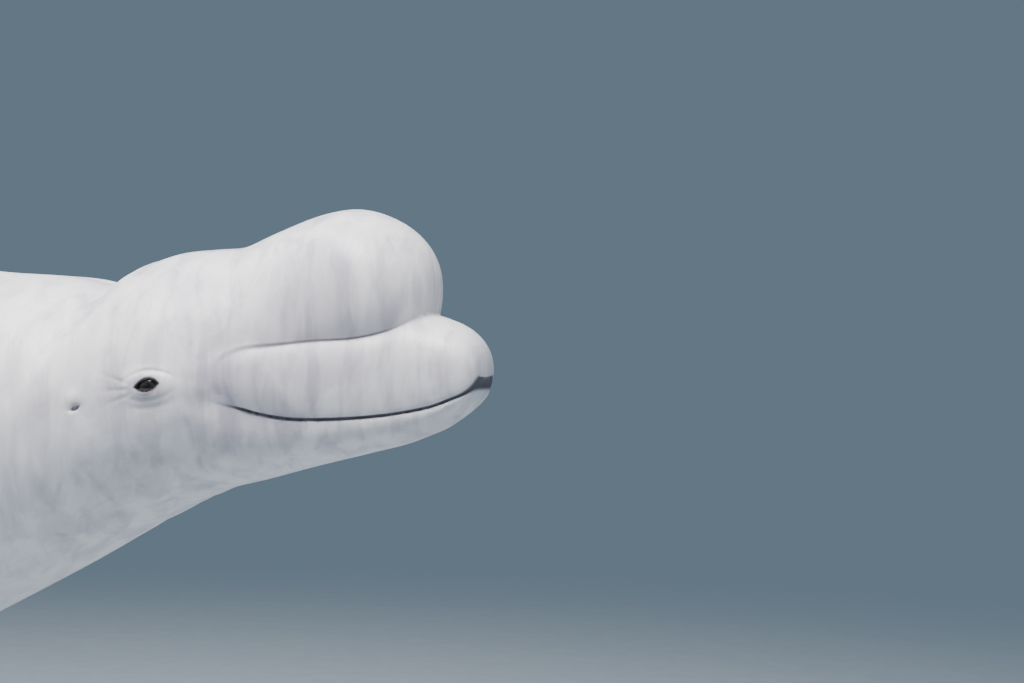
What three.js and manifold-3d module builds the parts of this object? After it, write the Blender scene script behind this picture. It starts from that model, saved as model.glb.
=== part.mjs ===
// A life-size adult beluga whale swimming level, held by a plain display stand. Millimetres, +Z up.
// The snout points to +X and the right side of the animal faces -Y. The origin is on the floor, under the middle of
// the bounding box. Stations along the body are measured backwards from the tip of the snout, and heights from a
// datum level with the fold between the melon and the beak.
import * as THREE from "three";
import { mergeVertices } from "three/addons/utils/BufferGeometryUtils.js";
import Module from "manifold-3d";

const wasm = await Module();
wasm.setup();

// Driving dimensions
const DATUM_HEIGHT = 955;
const GAP = 0.3;
const SMALLEST_DETAIL = 0.12;

// The melon and the trunk behind it share one loft. Each row is [station, value].
const MELON_FRONT = 59;
const MELON_FRONT_HEIGHT = 62;
const MELON_NOSE_LENGTH = 104;
const MELON_BLUNTNESS = 2.2;
const MELON_UNDERCUT_LENGTH = 40;
const TRUNK_TOP = [
  [54, 148], [110, 152], [160, 155], [200, 148], [249, 130], [290, 113], [330, 110], [371, 106], [408, 94],
  [440, 81], [466, 77], [500, 78], [560, 82], [631, 87], [850, 112], [1200, 158], [1600, 186], [2000, 186],
  [2400, 164], [2800, 116], [3200, 56], [3600, 6], [3800, -18], [3950, -40], [4080, -66], [4195, -92],
];
const TRUNK_BOTTOM = [
  [54, -10], [120, -30], [200, -72], [250, -112], [300, -150], [350, -186], [429, -226], [520, -276],
  [631, -332], [850, -440], [1100, -530], [1400, -596], [1650, -612], [2000, -592], [2400, -512], [2800, -402],
  [3200, -288], [3600, -194], [3800, -164], [3950, -150], [4080, -132], [4195, -106],
];
const TRUNK_HALF_WIDTH = [
  [54, 98], [150, 101], [200, 108], [250, 123], [300, 144], [350, 164], [429, 182], [520, 198], [631, 218],
  [850, 282], [1100, 338], [1400, 380], [1650, 388], [2000, 368], [2400, 310], [2800, 232], [3200, 152],
  [3600, 84], [3800, 58], [3950, 44], [4080, 30], [4195, 12],
];
// The height at which each section is widest.
const TRUNK_WAIST = [
  [54, 62], [150, 46], [200, 20], [250, -22], [300, -52], [350, -66], [429, -80], [520, -98], [631, -122],
  [850, -168], [1200, -204], [1650, -222], [2000, -210], [2400, -178], [2800, -144], [3200, -114], [3600, -92],
  [3950, -95], [4195, -99],
];
const SECTION_POWER = 2.15;

// The nape fold behind the blowhole runs down and back round the neck and fades out on the flank.
const NAPE_STATION = 469;
const NAPE_SWEEP = 104;
const NAPE_FORWARD = 24;
const NAPE_DEPTH = 9;
const NAPE_SPREAD = 14;
const NAPE_REACH = 1.7;

// A low ridge along the middle of the back.
const RIDGE = { height: 16, rise: [1750, 2000], fall: [2450, 2700], spread: 40 };

// The beak: both jaws, the rolled upper lip and the lower lip set back under it.
const BEAK_TIP_HEIGHT = -31;
const BEAK_ROUND_LENGTH = 65;
const BEAK_END = 345;
const BEAK_TOP = [
  [0, 26], [38, 27], [57, 30], [79, 36], [95, 36], [122, 34], [158, 34], [200, 33], [250, 26], [285, 8],
  [345, -30],
];
const MOUTH_HEIGHT = [
  [0, -66], [26, -68], [53, -75], [89, -82], [124, -86], [161, -88], [197, -88], [222, -85], [240, -81],
  [254, -77], [268, -73], [298, -66], [345, -72],
];
const JAW_BOTTOM = [
  [0, -90], [30, -95], [58, -105], [98, -120], [138, -130], [179, -140], [220, -150], [280, -166],
  [345, -180],
];
const LIP_HALF_WIDTH = [
  [0, 62], [60, 69], [100, 84], [150, 101], [200, 116], [250, 131], [285, 137], [345, 138],
];
const JAW_SET_BACK = 0.13;
const MOUTH_CORNER = 298;
const MOUTH_GROOVE = 9;
const LIP_POWER = 2.35;
const LIP_ROLL = 0.52;
const TIP_POWER = 4;
const PROFILE_POWER = 2.2;

// Eyes, ears and blowhole
const EYE = { station: 349, height: -50, radius: 16, proud: 5 };
const LID = { length: 27, height: 19, proud: 8, openLength: 14.5, openHeight: 8, tilt: 0.17 };
const EAR = { station: 430, height: -75, radius: 4, depth: 12 };
const BLOWHOLE = { station: 436, radius: 34, width: 5, depth: 22, span: 1.15 };

// Flippers: broad paddles, narrow at the root, with the tips curled up.
const FLIPPER = {
  station: 925, height: -300, span: 500, sweep: 0.60, spread: 0.66, drop: 0.46, tipCurl: 60, rootDepth: 70,
};
const FLIPPER_LEADING = [[0, 92], [0.12, 98], [0.35, 126], [0.6, 134], [0.8, 118], [0.93, 78], [1, 20]];
const FLIPPER_TRAILING = [[0, -92], [0.12, -96], [0.35, -132], [0.6, -152], [0.8, -138], [0.93, -92], [1, -26]];
const FLIPPER_THICKNESS = [[0, 78], [0.12, 66], [0.35, 44], [0.6, 32], [0.8, 22], [1, 9]];

// Flukes, as stations of both edges and thickness against the distance from the midline.
const FLUKE_HALF_SPAN = 525;
const FLUKE_HEIGHT = -99;
const FLUKE_RISE = 36;
const FLUKE_LEADING = [
  [0, 3850], [60, 3885], [150, 3948], [250, 4010], [350, 4070], [440, 4126], [500, 4172], [525, 4204],
];
const FLUKE_TRAILING = [
  [0, 4200], [40, 4222], [100, 4250], [190, 4266], [300, 4266], [400, 4254], [470, 4238], [510, 4224],
  [525, 4210],
];
const FLUKE_THICKNESS = [[0, 66], [60, 58], [150, 44], [300, 28], [450, 15], [525, 8]];

// Where the animal is divided
const JAW_REAR = [[MOUTH_CORNER, -68], [336, -122], [358, -260]];
const MELON_CUT = [[466, 70], [250, -8]];
const HEAD_CUT = [[466, 70], [600, -330]];
const NECK_CUT = 790;
const TORSO_CUT = 2750;
const TAIL_CUT = 3700;

// The stand
const BASE = { station: 1810, length: 1900, width: 760, thick: 40, corner: 60 };
const ROD_STATIONS = { front: 1230, rear: 2390 };
const ROD = { radius: 38, flangeRadius: 105, flangeThick: 18, flare: 22, sink: 60 };
const BOLT = { circle: 82, radius: 13, height: 12, count: 4 };

const SKIN = new THREE.MeshStandardMaterial({ color: 0xe6e4e4, roughness: 0.42, metalness: 0 });
const EYE_DARK = new THREE.MeshStandardMaterial({ color: 0x17120f, roughness: 0.08, metalness: 0 });
const STEEL = new THREE.MeshStandardMaterial({ color: 0x8f9498, roughness: 0.35, metalness: 0.9 });
const PLINTH = new THREE.MeshStandardMaterial({ color: 0x2b2f33, roughness: 0.55, metalness: 0.1 });

// A smooth function through [place, value] rows.
function curve(rows) {
  const spline = new THREE.CubicInterpolant(
    rows.map((row) => row[0]),
    rows.map((row) => row[1]),
    1,
  );
  const first = rows[0][0];
  const last = rows[rows.length - 1][0];
  return (place) => spline.evaluate(THREE.MathUtils.clamp(place, first, last))[0];
}

const trunkTop = curve(TRUNK_TOP);
const trunkBottom = curve(TRUNK_BOTTOM);
const trunkHalfWidth = curve(TRUNK_HALF_WIDTH);
const trunkWaist = curve(TRUNK_WAIST);
const beakTop = curve(BEAK_TOP);
const mouthHeight = curve(MOUTH_HEIGHT);
const jawBottom = curve(JAW_BOTTOM);
const lipHalfWidth = curve(LIP_HALF_WIDTH);
const flipperLeading = curve(FLIPPER_LEADING);
const flipperTrailing = curve(FLIPPER_TRAILING);
const flipperThickness = curve(FLIPPER_THICKNESS);
const flukeLeading = curve(FLUKE_LEADING);
const flukeTrailing = curve(FLUKE_TRAILING);
const flukeThickness = curve(FLUKE_THICKNESS);

const FLUKE_SHARES = [0, 0.05, 0.1, 0.17, 0.26, 0.36, 0.47, 0.58, 0.69, 0.79, 0.88, 0.95, 0.985, 1];
const REAR_REACH = Math.max(...FLUKE_SHARES.map((share) => flukeTrailing(share * FLUKE_HALF_SPAN)));
const NOSE_X = REAR_REACH / 2;

// A point of the animal from its station, sideways offset and height over the datum.
const place = (station, side, height) => new THREE.Vector3(NOSE_X - station, side, height + DATUM_HEIGHT);

// How far a blunt end of a given length has opened, from 0 at its tip to 1.
function opening(distance, length, power) {
  const t = THREE.MathUtils.clamp(distance / length, 0, 1);
  return (1 - (1 - t) ** power) ** (1 / power);
}

const bulge = (value, power) => Math.sign(value) * Math.abs(value) ** (2 / power);
const blend = THREE.MathUtils.smoothstep;

// The inward dip of the nape fold at a station and an angle from the top of the section.
function napeDip(station, angle) {
  const turn = Math.min(angle, 2 * Math.PI - angle);
  const forward = NAPE_FORWARD * Math.exp(-(((turn - 0.55) / 0.4) ** 2));
  const line = NAPE_STATION - forward + NAPE_SWEEP * Math.max(turn - 0.75, 0) ** 2;
  const behind = station > line ? 1.7 : 1;
  const offset = (station - line) / (NAPE_SPREAD * behind);
  return NAPE_DEPTH * Math.exp(-offset * offset) * (1 - blend(turn, 0.55, NAPE_REACH));
}

// The rise of the back's ridge at a station and a distance from the midline.
function ridgeRise(station, across) {
  const along = blend(station, ...RIDGE.rise) * (1 - blend(station, ...RIDGE.fall));
  return RIDGE.height * along * Math.exp(-((across / RIDGE.spread) ** 2));
}

// One section of the melon and trunk, as a closed ring of points.
function trunkRing(station, columns, grow) {
  const front = station - MELON_FRONT;
  const open = opening(front, MELON_NOSE_LENGTH, MELON_BLUNTNESS);
  const under = opening(front, MELON_UNDERCUT_LENGTH, 2);
  const isNose = front < MELON_NOSE_LENGTH;
  const waist = isNose ? THREE.MathUtils.lerp(MELON_FRONT_HEIGHT, trunkWaist(station), open) : trunkWaist(station);
  const top = THREE.MathUtils.lerp(MELON_FRONT_HEIGHT, trunkTop(station), open);
  const bottom = THREE.MathUtils.lerp(MELON_FRONT_HEIGHT, trunkBottom(station), under);
  const half = trunkHalfWidth(station) * open;
  return Array.from({ length: columns }, (_, j) => {
    const angle = (2 * Math.PI * j) / columns;
    const dip = napeDip(station, angle);
    const side = Math.sin(angle);
    const up = Math.cos(angle);
    const reach = up > 0 ? top - waist : waist - bottom;
    const across = (half + grow - dip) * bulge(side, SECTION_POWER);
    const rise = up > 0 ? ridgeRise(station, across) : 0;
    return place(station, across, waist + (reach + grow - dip) * bulge(up, SECTION_POWER) + rise);
  });
}

// One half section of the beak, from the top midline round the lips to the bottom midline, as [side, height] pairs.
function beakHalf(station, grow) {
  const open = opening(station, BEAK_ROUND_LENGTH, PROFILE_POWER);
  const wide = opening(station, BEAK_ROUND_LENGTH, TIP_POWER);
  const level = (height, share) => THREE.MathUtils.lerp(BEAK_TIP_HEIGHT, height, share);
  const top = level(beakTop(station), open) + grow;
  const mouth = level(mouthHeight(station), opening(station, BEAK_ROUND_LENGTH, 3));
  const bottom = level(jawBottom(station), open) - grow;
  const lip = lipHalfWidth(station) * wide + grow;
  const jaw = lip * (1 - JAW_SET_BACK);
  const fade = 1 - blend(station, MOUTH_CORNER - 40, MOUTH_CORNER);
  const groove = MOUTH_GROOVE * fade * wide;
  const bulgeHeight = THREE.MathUtils.lerp(mouth, top, 0.42);
  const upper = 9;
  const lower = 7;
  const half = [];
  for (let i = 0; i <= upper; i += 1) {
    const angle = Math.PI / 2 - (i / upper) * (Math.PI / 2 + LIP_ROLL);
    const reach = angle > 0 ? top - bulgeHeight : (bulgeHeight - mouth - 3 * open) / bulge(Math.sin(LIP_ROLL), LIP_POWER);
    half.push([lip * bulge(Math.cos(angle), LIP_POWER), bulgeHeight + reach * bulge(Math.sin(angle), LIP_POWER)]);
  }
  const edge = half[half.length - 1][0];
  half.push([edge - groove - 1.5 * wide, mouth]);
  for (let i = 0; i <= lower; i += 1) {
    const angle = (i / lower) * (Math.PI / 2);
    const start = THREE.MathUtils.lerp(edge, jaw, fade);
    const height = mouth - 3 * open - (mouth - 3 * open - bottom) * bulge(Math.sin(angle), 2.1);
    half.push([start * bulge(Math.cos(angle), 2.4), height]);
  }
  return half;
}

function beakRing(station, grow) {
  const half = beakHalf(station, grow);
  const right = half.map(([side, height]) => place(station, -side, height));
  const left = half.slice(1, -1).map(([side, height]) => place(station, side, height));
  return [...right, ...left.reverse()];
}

// A closed mesh through rings of equal count, each end closed by a fan to its middle.
function skin(rings) {
  const count = rings[0].length;
  const points = rings.flat();
  const faces = [];
  for (let i = 0; i < rings.length - 1; i += 1) {
    for (let j = 0; j < count; j += 1) {
      const a = i * count + j;
      const b = i * count + ((j + 1) % count);
      faces.push(a, b, b + count, a, b + count, a + count);
    }
  }
  [0, rings.length - 1].forEach((end) => {
    const middle = rings[end].reduce((sum, p) => sum.add(p), new THREE.Vector3()).divideScalar(count);
    points.push(middle);
    for (let j = 0; j < count; j += 1) {
      const a = end * count + j;
      const b = end * count + ((j + 1) % count);
      faces.push(...(end === 0 ? [points.length - 1, b, a] : [points.length - 1, a, b]));
    }
  });
  const geometry = new THREE.BufferGeometry().setFromPoints(points);
  geometry.setIndex(faces);
  return geometry;
}

// A closed three.js geometry as a solid that can be cut and joined.
function solid(geometry) {
  const bare = geometry.clone();
  bare.deleteAttribute("normal");
  bare.deleteAttribute("uv");
  const merged = mergeVertices(bare, 1e-4);
  const build = (triVerts) =>
    new wasm.Manifold(new wasm.Mesh({ numProp: 3, vertProperties: merged.attributes.position.array, triVerts }));
  const corners = new Uint32Array(merged.index.array);
  const made = build(corners);
  return made.volume() < 0 ? build(corners.slice().reverse()) : made;
}

// The largest closed surface of a solid.
function largest(made) {
  return made.decompose().reduce((best, one) => (one.volume() > best.volume() ? one : best));
}

function mesh(name, made, material) {
  const { vertProperties, triVerts } = largest(largest(made).simplify(SMALLEST_DETAIL)).getMesh();
  const geometry = new THREE.BufferGeometry();
  geometry.setAttribute("position", new THREE.BufferAttribute(new Float32Array(vertProperties), 3));
  geometry.setIndex(new THREE.BufferAttribute(new Uint32Array(triVerts), 1));
  geometry.computeVertexNormals();
  const node = new THREE.Mesh(geometry, material);
  node.name = name;
  return node;
}

// Stations from start to end, with a spacing that grows with the distance from the snout.
function stations(start, end, count, power = 1) {
  return Array.from({ length: count + 1 }, (_, i) => start + (end - start) * (i / count) ** power);
}

const noseStations = (start, length, count) =>
  Array.from({ length: count }, (_, i) => start + length * (1 - Math.cos(((i + 0.35) / count) * (Math.PI / 2))));

const HEAD_STATIONS = [
  ...noseStations(MELON_FRONT, MELON_NOSE_LENGTH, 8),
  ...stations(MELON_FRONT + MELON_NOSE_LENGTH, 440, 12),
  ...stations(452, 500, 4),
  ...stations(530, 700, 4),
];
const BODY_STATIONS = [
  ...stations(430, 700, 9),
  ...stations(770, 3700, 26),
  ...stations(3780, 4195, 7),
];
const BEAK_STATIONS = [...noseStations(0, BEAK_ROUND_LENGTH, 8), ...stations(BEAK_ROUND_LENGTH, BEAK_END, 16)];

const headLoft = (grow) => solid(skin(HEAD_STATIONS.map((s) => trunkRing(s, 60, grow))));
const bodyLoft = (grow) => solid(skin(BODY_STATIONS.map((s) => trunkRing(s, 38, grow))));
const beakLoft = (grow) => solid(skin(BEAK_STATIONS.map((s) => beakRing(s, grow))));

// The part of a solid on one side of a plane through two [station, height] points. Side 1 keeps what lies ahead of
// or above the line, side -1 the rest, each drawn back by half of the gap.
function cutAlong(made, [[s1, z1], [s2, z2]], side) {
  const first = place(s1, 0, z1);
  const second = place(s2, 0, z2);
  const along = second.sub(first);
  const normal = new THREE.Vector3(-along.z, 0, along.x).normalize().multiplyScalar(side * (along.z > 0 ? -1 : 1));
  return made.trimByPlane(normal.toArray(), normal.dot(first) + GAP / 2);
}

const cutAcross = (made, station, side) => made.trimByPlane([side, 0, 0], side * place(station, 0, 0).x + GAP / 2);

// The space under the mouth line and ahead of the jaw's root, drawn back by an inset.
function jawRegion(inset) {
  const shape = new THREE.Shape();
  const mouthAt = (s) =>
    THREE.MathUtils.lerp(BEAK_TIP_HEIGHT, mouthHeight(s), opening(s, BEAK_ROUND_LENGTH, 3)) - inset;
  const line = BEAK_STATIONS.filter((s) => s < MOUTH_CORNER).map((s) => [s, mouthAt(s)]);
  shape.moveTo(-60, BEAK_TIP_HEIGHT - inset);
  [...line, ...JAW_REAR.map(([s, z]) => [s - inset, z - inset]), [-60, -260]].forEach(([s, z]) => shape.lineTo(s, z));
  const width = 400;
  const geometry = new THREE.ExtrudeGeometry(shape, { depth: width, bevelEnabled: false });
  geometry.translate(0, 0, -width / 2);
  geometry.applyMatrix4(
    new THREE.Matrix4().set(-1, 0, 0, NOSE_X, 0, 0, 1, 0, 0, 1, 0, DATUM_HEIGHT, 0, 0, 0, 1),
  );
  return solid(geometry);
}

// The skin's sideways offset on the trunk at a station and height.
function flank(station, height) {
  const waist = trunkWaist(station);
  const reach = height > waist ? trunkTop(station) - waist : waist - trunkBottom(station);
  const rise = Math.min(Math.abs(height - waist) / reach, 1);
  return trunkHalfWidth(station) * (1 - rise ** SECTION_POWER) ** (1 / SECTION_POWER);
}

// The point and outward direction of the skin at a station, height and side.
function skinFrame(station, height, side) {
  const step = 8;
  const at = (s, z) => place(s, side * flank(s, z), z);
  const along = at(station - step, height).sub(at(station + step, height)).normalize();
  const up = at(station, height + step).sub(at(station, height - step)).normalize();
  const out = new THREE.Vector3().crossVectors(up, along).multiplyScalar(side).normalize();
  return { point: at(station, height), along, up: new THREE.Vector3().crossVectors(out, along).normalize(), out };
}

function ball(centre, axes, scale, across, around) {
  const geometry = new THREE.SphereGeometry(1, around, across);
  const basis = new THREE.Matrix4().makeBasis(...axes).scale(scale).setPosition(centre);
  return solid(geometry.applyMatrix4(basis));
}

// Lids, the opening between them and the eyeball of one side.
function eyeSet(side) {
  const { point, along, up, out } = skinFrame(EYE.station, EYE.height, side);
  const centre = point.clone().addScaledVector(out, EYE.proud - EYE.radius);
  const axes = [along, up, out];
  const lids = ball(point, axes, new THREE.Vector3(LID.length, LID.height, LID.proud), 10, 18);
  const almond = new THREE.Shape();
  const corner = LID.openLength;
  const lift = LID.openHeight * 2;
  almond.moveTo(-corner, -corner * LID.tilt);
  almond.quadraticCurveTo(0, lift, corner, corner * LID.tilt);
  almond.quadraticCurveTo(0, -lift, -corner, -corner * LID.tilt);
  const window = new THREE.ExtrudeGeometry(almond, { depth: 30, bevelEnabled: false, curveSegments: 6 });
  window.applyMatrix4(new THREE.Matrix4().makeBasis(...axes).setPosition(centre));
  const globe = (grow) =>
    ball(centre, axes, new THREE.Vector3(1, 1, 1).multiplyScalar(EYE.radius + grow), 10, 16);
  return { lids, window: solid(window), socket: globe(GAP), eye: globe(0) };
}

// The small pit of one ear.
function earPit(side) {
  const { point, out } = skinFrame(EAR.station, EAR.height, side);
  const cone = new THREE.CylinderGeometry(EAR.radius, EAR.radius / 3, EAR.depth * 2, 8);
  cone.applyQuaternion(new THREE.Quaternion().setFromUnitVectors(new THREE.Vector3(0, 1, 0), out));
  cone.translate(...point.toArray());
  return solid(cone);
}

// A crescent slit across the top of the head, with its horns to the front.
function blowholeSlit() {
  const { station, radius, width, depth, span } = BLOWHOLE;
  const arc = new THREE.Shape();
  arc.absarc(0, 0, radius + width / 2, Math.PI - span, Math.PI + span, false);
  arc.absarc(0, 0, radius - width / 2, Math.PI + span, Math.PI - span, true);
  const geometry = new THREE.ExtrudeGeometry(arc, { depth: depth * 2, bevelEnabled: false, curveSegments: 8 });
  const centre = place(station - radius, 0, trunkTop(station) - depth);
  return solid(geometry.translate(...centre.toArray()));
}

// A wing of closed aerofoil sections. Each section gives its two edges, its thickness and three directions.
function wing(sections, perSide) {
  return skin(
    sections.map(({ middle, chord, lift, front, rear, thick }) =>
      Array.from({ length: perSide * 2 }, (_, j) => {
        const angle = (Math.PI * j) / perSide;
        const share = (1 + Math.cos(angle)) / 2;
        const along = rear + (front - rear) * share;
        const fullness = Math.sin(angle) * (0.62 + 0.38 * share);
        return middle
          .clone()
          .addScaledVector(chord, along)
          .addScaledVector(lift, (fullness * thick) / 2);
      }),
    ),
  );
}

function flipper(side) {
  const { station, height, span, sweep, spread, drop, tipCurl, rootDepth } = FLIPPER;
  const outward = new THREE.Vector3(-sweep, side * spread, -drop).normalize();
  const ahead = new THREE.Vector3(1, 0, 0);
  const chord = ahead.addScaledVector(outward, -ahead.dot(outward)).normalize();
  const lift = new THREE.Vector3().crossVectors(chord, outward).multiplyScalar(-side).normalize();
  const root = place(station, side * flank(station, height), height);
  const shares = [-rootDepth / span, 0, 0.1, 0.22, 0.36, 0.5, 0.64, 0.76, 0.86, 0.93, 0.975, 1];
  const sections = shares.map((share) => ({
    middle: root
      .clone()
      .addScaledVector(outward, span * share)
      .addScaledVector(lift, tipCurl * Math.max(share, 0) ** 2.5),
    chord,
    lift,
    front: flipperLeading(share),
    rear: flipperTrailing(share),
    thick: flipperThickness(share),
  }));
  return solid(wing(sections, 9));
}

function flukes(side) {
  const sections = FLUKE_SHARES.map((share) => {
    const across = FLUKE_HALF_SPAN * share;
    return {
      middle: place(0, side * Math.max(across, GAP / 2), FLUKE_HEIGHT + FLUKE_RISE * share ** 2),
      chord: new THREE.Vector3(1, 0, 0),
      lift: new THREE.Vector3(0, 0, 1),
      front: -flukeLeading(across),
      rear: -flukeTrailing(across),
      thick: flukeThickness(across),
    };
  });
  return solid(wing(sections, 11));
}

// A rod with a flange at its foot, from the base up into the belly, where the body is then cut away from it.
function rod(station) {
  const { radius, flangeRadius, flangeThick, flare, sink } = ROD;
  const foot = BASE.thick + GAP;
  const top = DATUM_HEIGHT + trunkBottom(station) + sink;
  const profile = [
    [0, foot], [flangeRadius, foot], [flangeRadius, foot + flangeThick - 4], [flangeRadius - 4, foot + flangeThick],
    [radius + flare, foot + flangeThick], [radius + flare * 0.3, foot + flangeThick + flare * 0.4],
    [radius, foot + flangeThick + flare * 1.4], [radius, top], [0, top],
  ].map(([r, z]) => new THREE.Vector2(r, z));
  const geometry = new THREE.LatheGeometry(profile, 24).rotateX(Math.PI / 2);
  return solid(geometry.translate(NOSE_X - station, 0, 0));
}

function basePlate() {
  const { station, length, width, thick, corner } = BASE;
  const x = NOSE_X - station;
  const [low, high] = [x - length / 2, x + length / 2];
  const half = width / 2;
  const outline = new THREE.Shape();
  outline.moveTo(low + corner, -half);
  outline.lineTo(high - corner, -half);
  outline.absarc(high - corner, -half + corner, corner, -Math.PI / 2, 0, false);
  outline.absarc(high - corner, half - corner, corner, 0, Math.PI / 2, false);
  outline.absarc(low + corner, half - corner, corner, Math.PI / 2, Math.PI, false);
  outline.absarc(low + corner, -half + corner, corner, Math.PI, Math.PI * 1.5, false);
  const bevel = 6;
  const geometry = new THREE.ExtrudeGeometry(outline, {
    depth: thick - bevel, bevelThickness: bevel, bevelSize: bevel, bevelOffset: -bevel, bevelSegments: 1,
    curveSegments: 5,
  });
  return solid(geometry).trimByPlane([0, 0, 1], 0);
}

function bolt(station, index) {
  const { circle, radius, height, count } = BOLT;
  const angle = ((index + 0.5) / count) * 2 * Math.PI;
  const seat = BASE.thick + GAP * 2 + ROD.flangeThick;
  const geometry = new THREE.CylinderGeometry(radius * 0.9, radius, height, 6).rotateX(Math.PI / 2);
  const x = NOSE_X - station + circle * Math.cos(angle);
  return solid(geometry.translate(x, circle * Math.sin(angle), seat + height / 2));
}

const whale = new THREE.Group();
const add = (name, made, material) => whale.add(mesh(name, made, material));

const trunk = bodyLoft(0);
const grownTrunk = bodyLoft(GAP);
const headTrunk = headLoft(0);
const beak = beakLoft(0);
const sides = { right: -1, left: 1 };

const melonPart = cutAlong(headTrunk, MELON_CUT, 1);
let skull = cutAlong(cutAlong(headTrunk, MELON_CUT, -1), HEAD_CUT, 1).add(beak);
let melon = cutAlong(melonPart, HEAD_CUT, 1).subtract(beakLoft(GAP));
const slit = blowholeSlit();
melon = melon.subtract(slit);
skull = skull.subtract(slit);
Object.entries(sides).forEach(([name, side]) => {
  const { lids, window, socket, eye } = eyeSet(side);
  skull = skull.add(lids).subtract(socket).subtract(window).subtract(earPit(side));
  add(`eye_${name}`, eye, EYE_DARK);
});
add("melon", melon, SKIN);
add("lower_jaw", skull.intersect(jawRegion(GAP)), SKIN);
add("head", skull.subtract(jawRegion(0)), SKIN);

add("neck", cutAcross(cutAlong(trunk, HEAD_CUT, -1), NECK_CUT, 1), SKIN);
add("torso", cutAcross(cutAcross(trunk, NECK_CUT, -1), TORSO_CUT, 1), SKIN);
add("tail_stock", cutAcross(cutAcross(trunk, TORSO_CUT, -1), TAIL_CUT, 1), SKIN);
add("tail_root", cutAcross(trunk, TAIL_CUT, -1), SKIN);

Object.entries(sides).forEach(([name, side]) => {
  add(`flipper_${name}`, flipper(side).subtract(grownTrunk), SKIN);
  add(`fluke_${name}`, flukes(side).subtract(grownTrunk), SKIN);
});

add("stand_base", basePlate(), PLINTH);
Object.entries(ROD_STATIONS).forEach(([name, station]) => {
  add(`stand_rod_${name}`, rod(station).subtract(grownTrunk), STEEL);
  for (let i = 0; i < BOLT.count; i += 1) add(`stand_bolt_${name}_${i + 1}`, bolt(station, i), STEEL);
});

export default whale;
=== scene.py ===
"""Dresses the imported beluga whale: one skin over its nodes of flesh, its eyes and its display stand.

Lengths of the animal are in millimetres, as stations behind the snout's tip and heights over a datum that is
level with the fold between melon and beak. Meshes are in metres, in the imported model's frame.
"""

import itertools
import logging
import math
from dataclasses import dataclass, field
from enum import Enum
from typing import Callable, Sequence

import bmesh
import bpy
import numpy as np
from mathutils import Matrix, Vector, kdtree

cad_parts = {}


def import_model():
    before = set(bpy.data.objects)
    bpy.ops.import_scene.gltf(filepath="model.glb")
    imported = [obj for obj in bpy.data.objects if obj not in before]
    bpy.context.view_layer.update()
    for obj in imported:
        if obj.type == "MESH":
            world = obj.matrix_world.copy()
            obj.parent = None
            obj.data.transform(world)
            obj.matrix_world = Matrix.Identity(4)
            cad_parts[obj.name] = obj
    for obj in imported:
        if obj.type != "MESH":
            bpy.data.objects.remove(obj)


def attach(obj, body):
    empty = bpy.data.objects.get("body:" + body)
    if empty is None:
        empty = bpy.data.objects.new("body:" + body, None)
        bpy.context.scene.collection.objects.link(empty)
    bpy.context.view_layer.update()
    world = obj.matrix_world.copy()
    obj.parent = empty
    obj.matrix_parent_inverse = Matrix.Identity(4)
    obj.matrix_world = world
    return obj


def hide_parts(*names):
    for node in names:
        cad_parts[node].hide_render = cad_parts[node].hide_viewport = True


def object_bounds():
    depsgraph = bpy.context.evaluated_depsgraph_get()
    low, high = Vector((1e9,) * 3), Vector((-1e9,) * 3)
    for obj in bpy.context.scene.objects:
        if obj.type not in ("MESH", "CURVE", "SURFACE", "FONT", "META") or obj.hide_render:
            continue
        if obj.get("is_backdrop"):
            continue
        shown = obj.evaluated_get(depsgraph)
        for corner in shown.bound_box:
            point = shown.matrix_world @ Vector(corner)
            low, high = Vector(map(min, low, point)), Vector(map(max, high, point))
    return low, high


logging.basicConfig(level=logging.INFO, format="%(name)s: %(message)s")
log = logging.getLogger("beluga")

# A millimetre in metres, and the datum's height over the floor in millimetres.
MM = 0.001
DATUM = 955.0
# The stations of the trunk's last section, of the end of the face's fine detail and of the two rods.
TRUNK_END = 4195.0
FACE_END = 520.0
ROD_STATIONS = {"front": 1230.0, "rear": 2390.0}
FLESH = (
    "head", "melon", "lower_jaw", "neck", "torso", "tail_stock", "tail_root",
    "flipper_left", "flipper_right", "fluke_left", "fluke_right",
)


class Side(Enum):
    """The two sides of the animal, as the sign of +Y."""

    RIGHT = -1
    LEFT = 1


class Curve:
    """A smooth function through (place, value) rows, with the slope at each row taken from its neighbours."""

    def __init__(self, rows: Sequence[tuple[float, float]]) -> None:
        """Takes the rows and finds their slopes.

        Args:
            rows: Pairs of a place and a value, by rising place.
        """
        self.x = np.array([row[0] for row in rows], dtype=float)
        self.y = np.array([row[1] for row in rows], dtype=float)
        slope = np.empty_like(self.y)
        slope[1:-1] = (self.y[2:] - self.y[:-2]) / (self.x[2:] - self.x[:-2])
        slope[0] = 1.5 * (self.y[1] - self.y[0]) / (self.x[1] - self.x[0]) - 0.5 * slope[1]
        slope[-1] = 1.5 * (self.y[-1] - self.y[-2]) / (self.x[-1] - self.x[-2]) - 0.5 * slope[-2]
        self.slope = slope

    def __call__(self, place: np.ndarray | float) -> np.ndarray:
        """Values of the function, held at its ends.

        Args:
            place: Where to evaluate, of any shape.

        Returns:
            The values, in the same shape.
        """
        p = np.clip(place, self.x[0], self.x[-1])
        i = np.clip(np.searchsorted(self.x, p, side="right") - 1, 0, len(self.x) - 2)
        h = self.x[i + 1] - self.x[i]
        t = (p - self.x[i]) / h
        a = (1 + 2 * t) * (1 - t) ** 2 * self.y[i] + t * t * (3 - 2 * t) * self.y[i + 1]
        return a + h * (t * (1 - t) ** 2 * self.slope[i] - t * t * (1 - t) * self.slope[i + 1])


def smooth_min(a: np.ndarray, b: np.ndarray, radius: float | np.ndarray) -> np.ndarray:
    """Joins two solids with a fillet of about the given radius."""
    h = np.clip(0.5 + 0.5 * (b - a) / radius, 0, 1)
    return b + (a - b) * h - radius * h * (1 - h)


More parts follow.
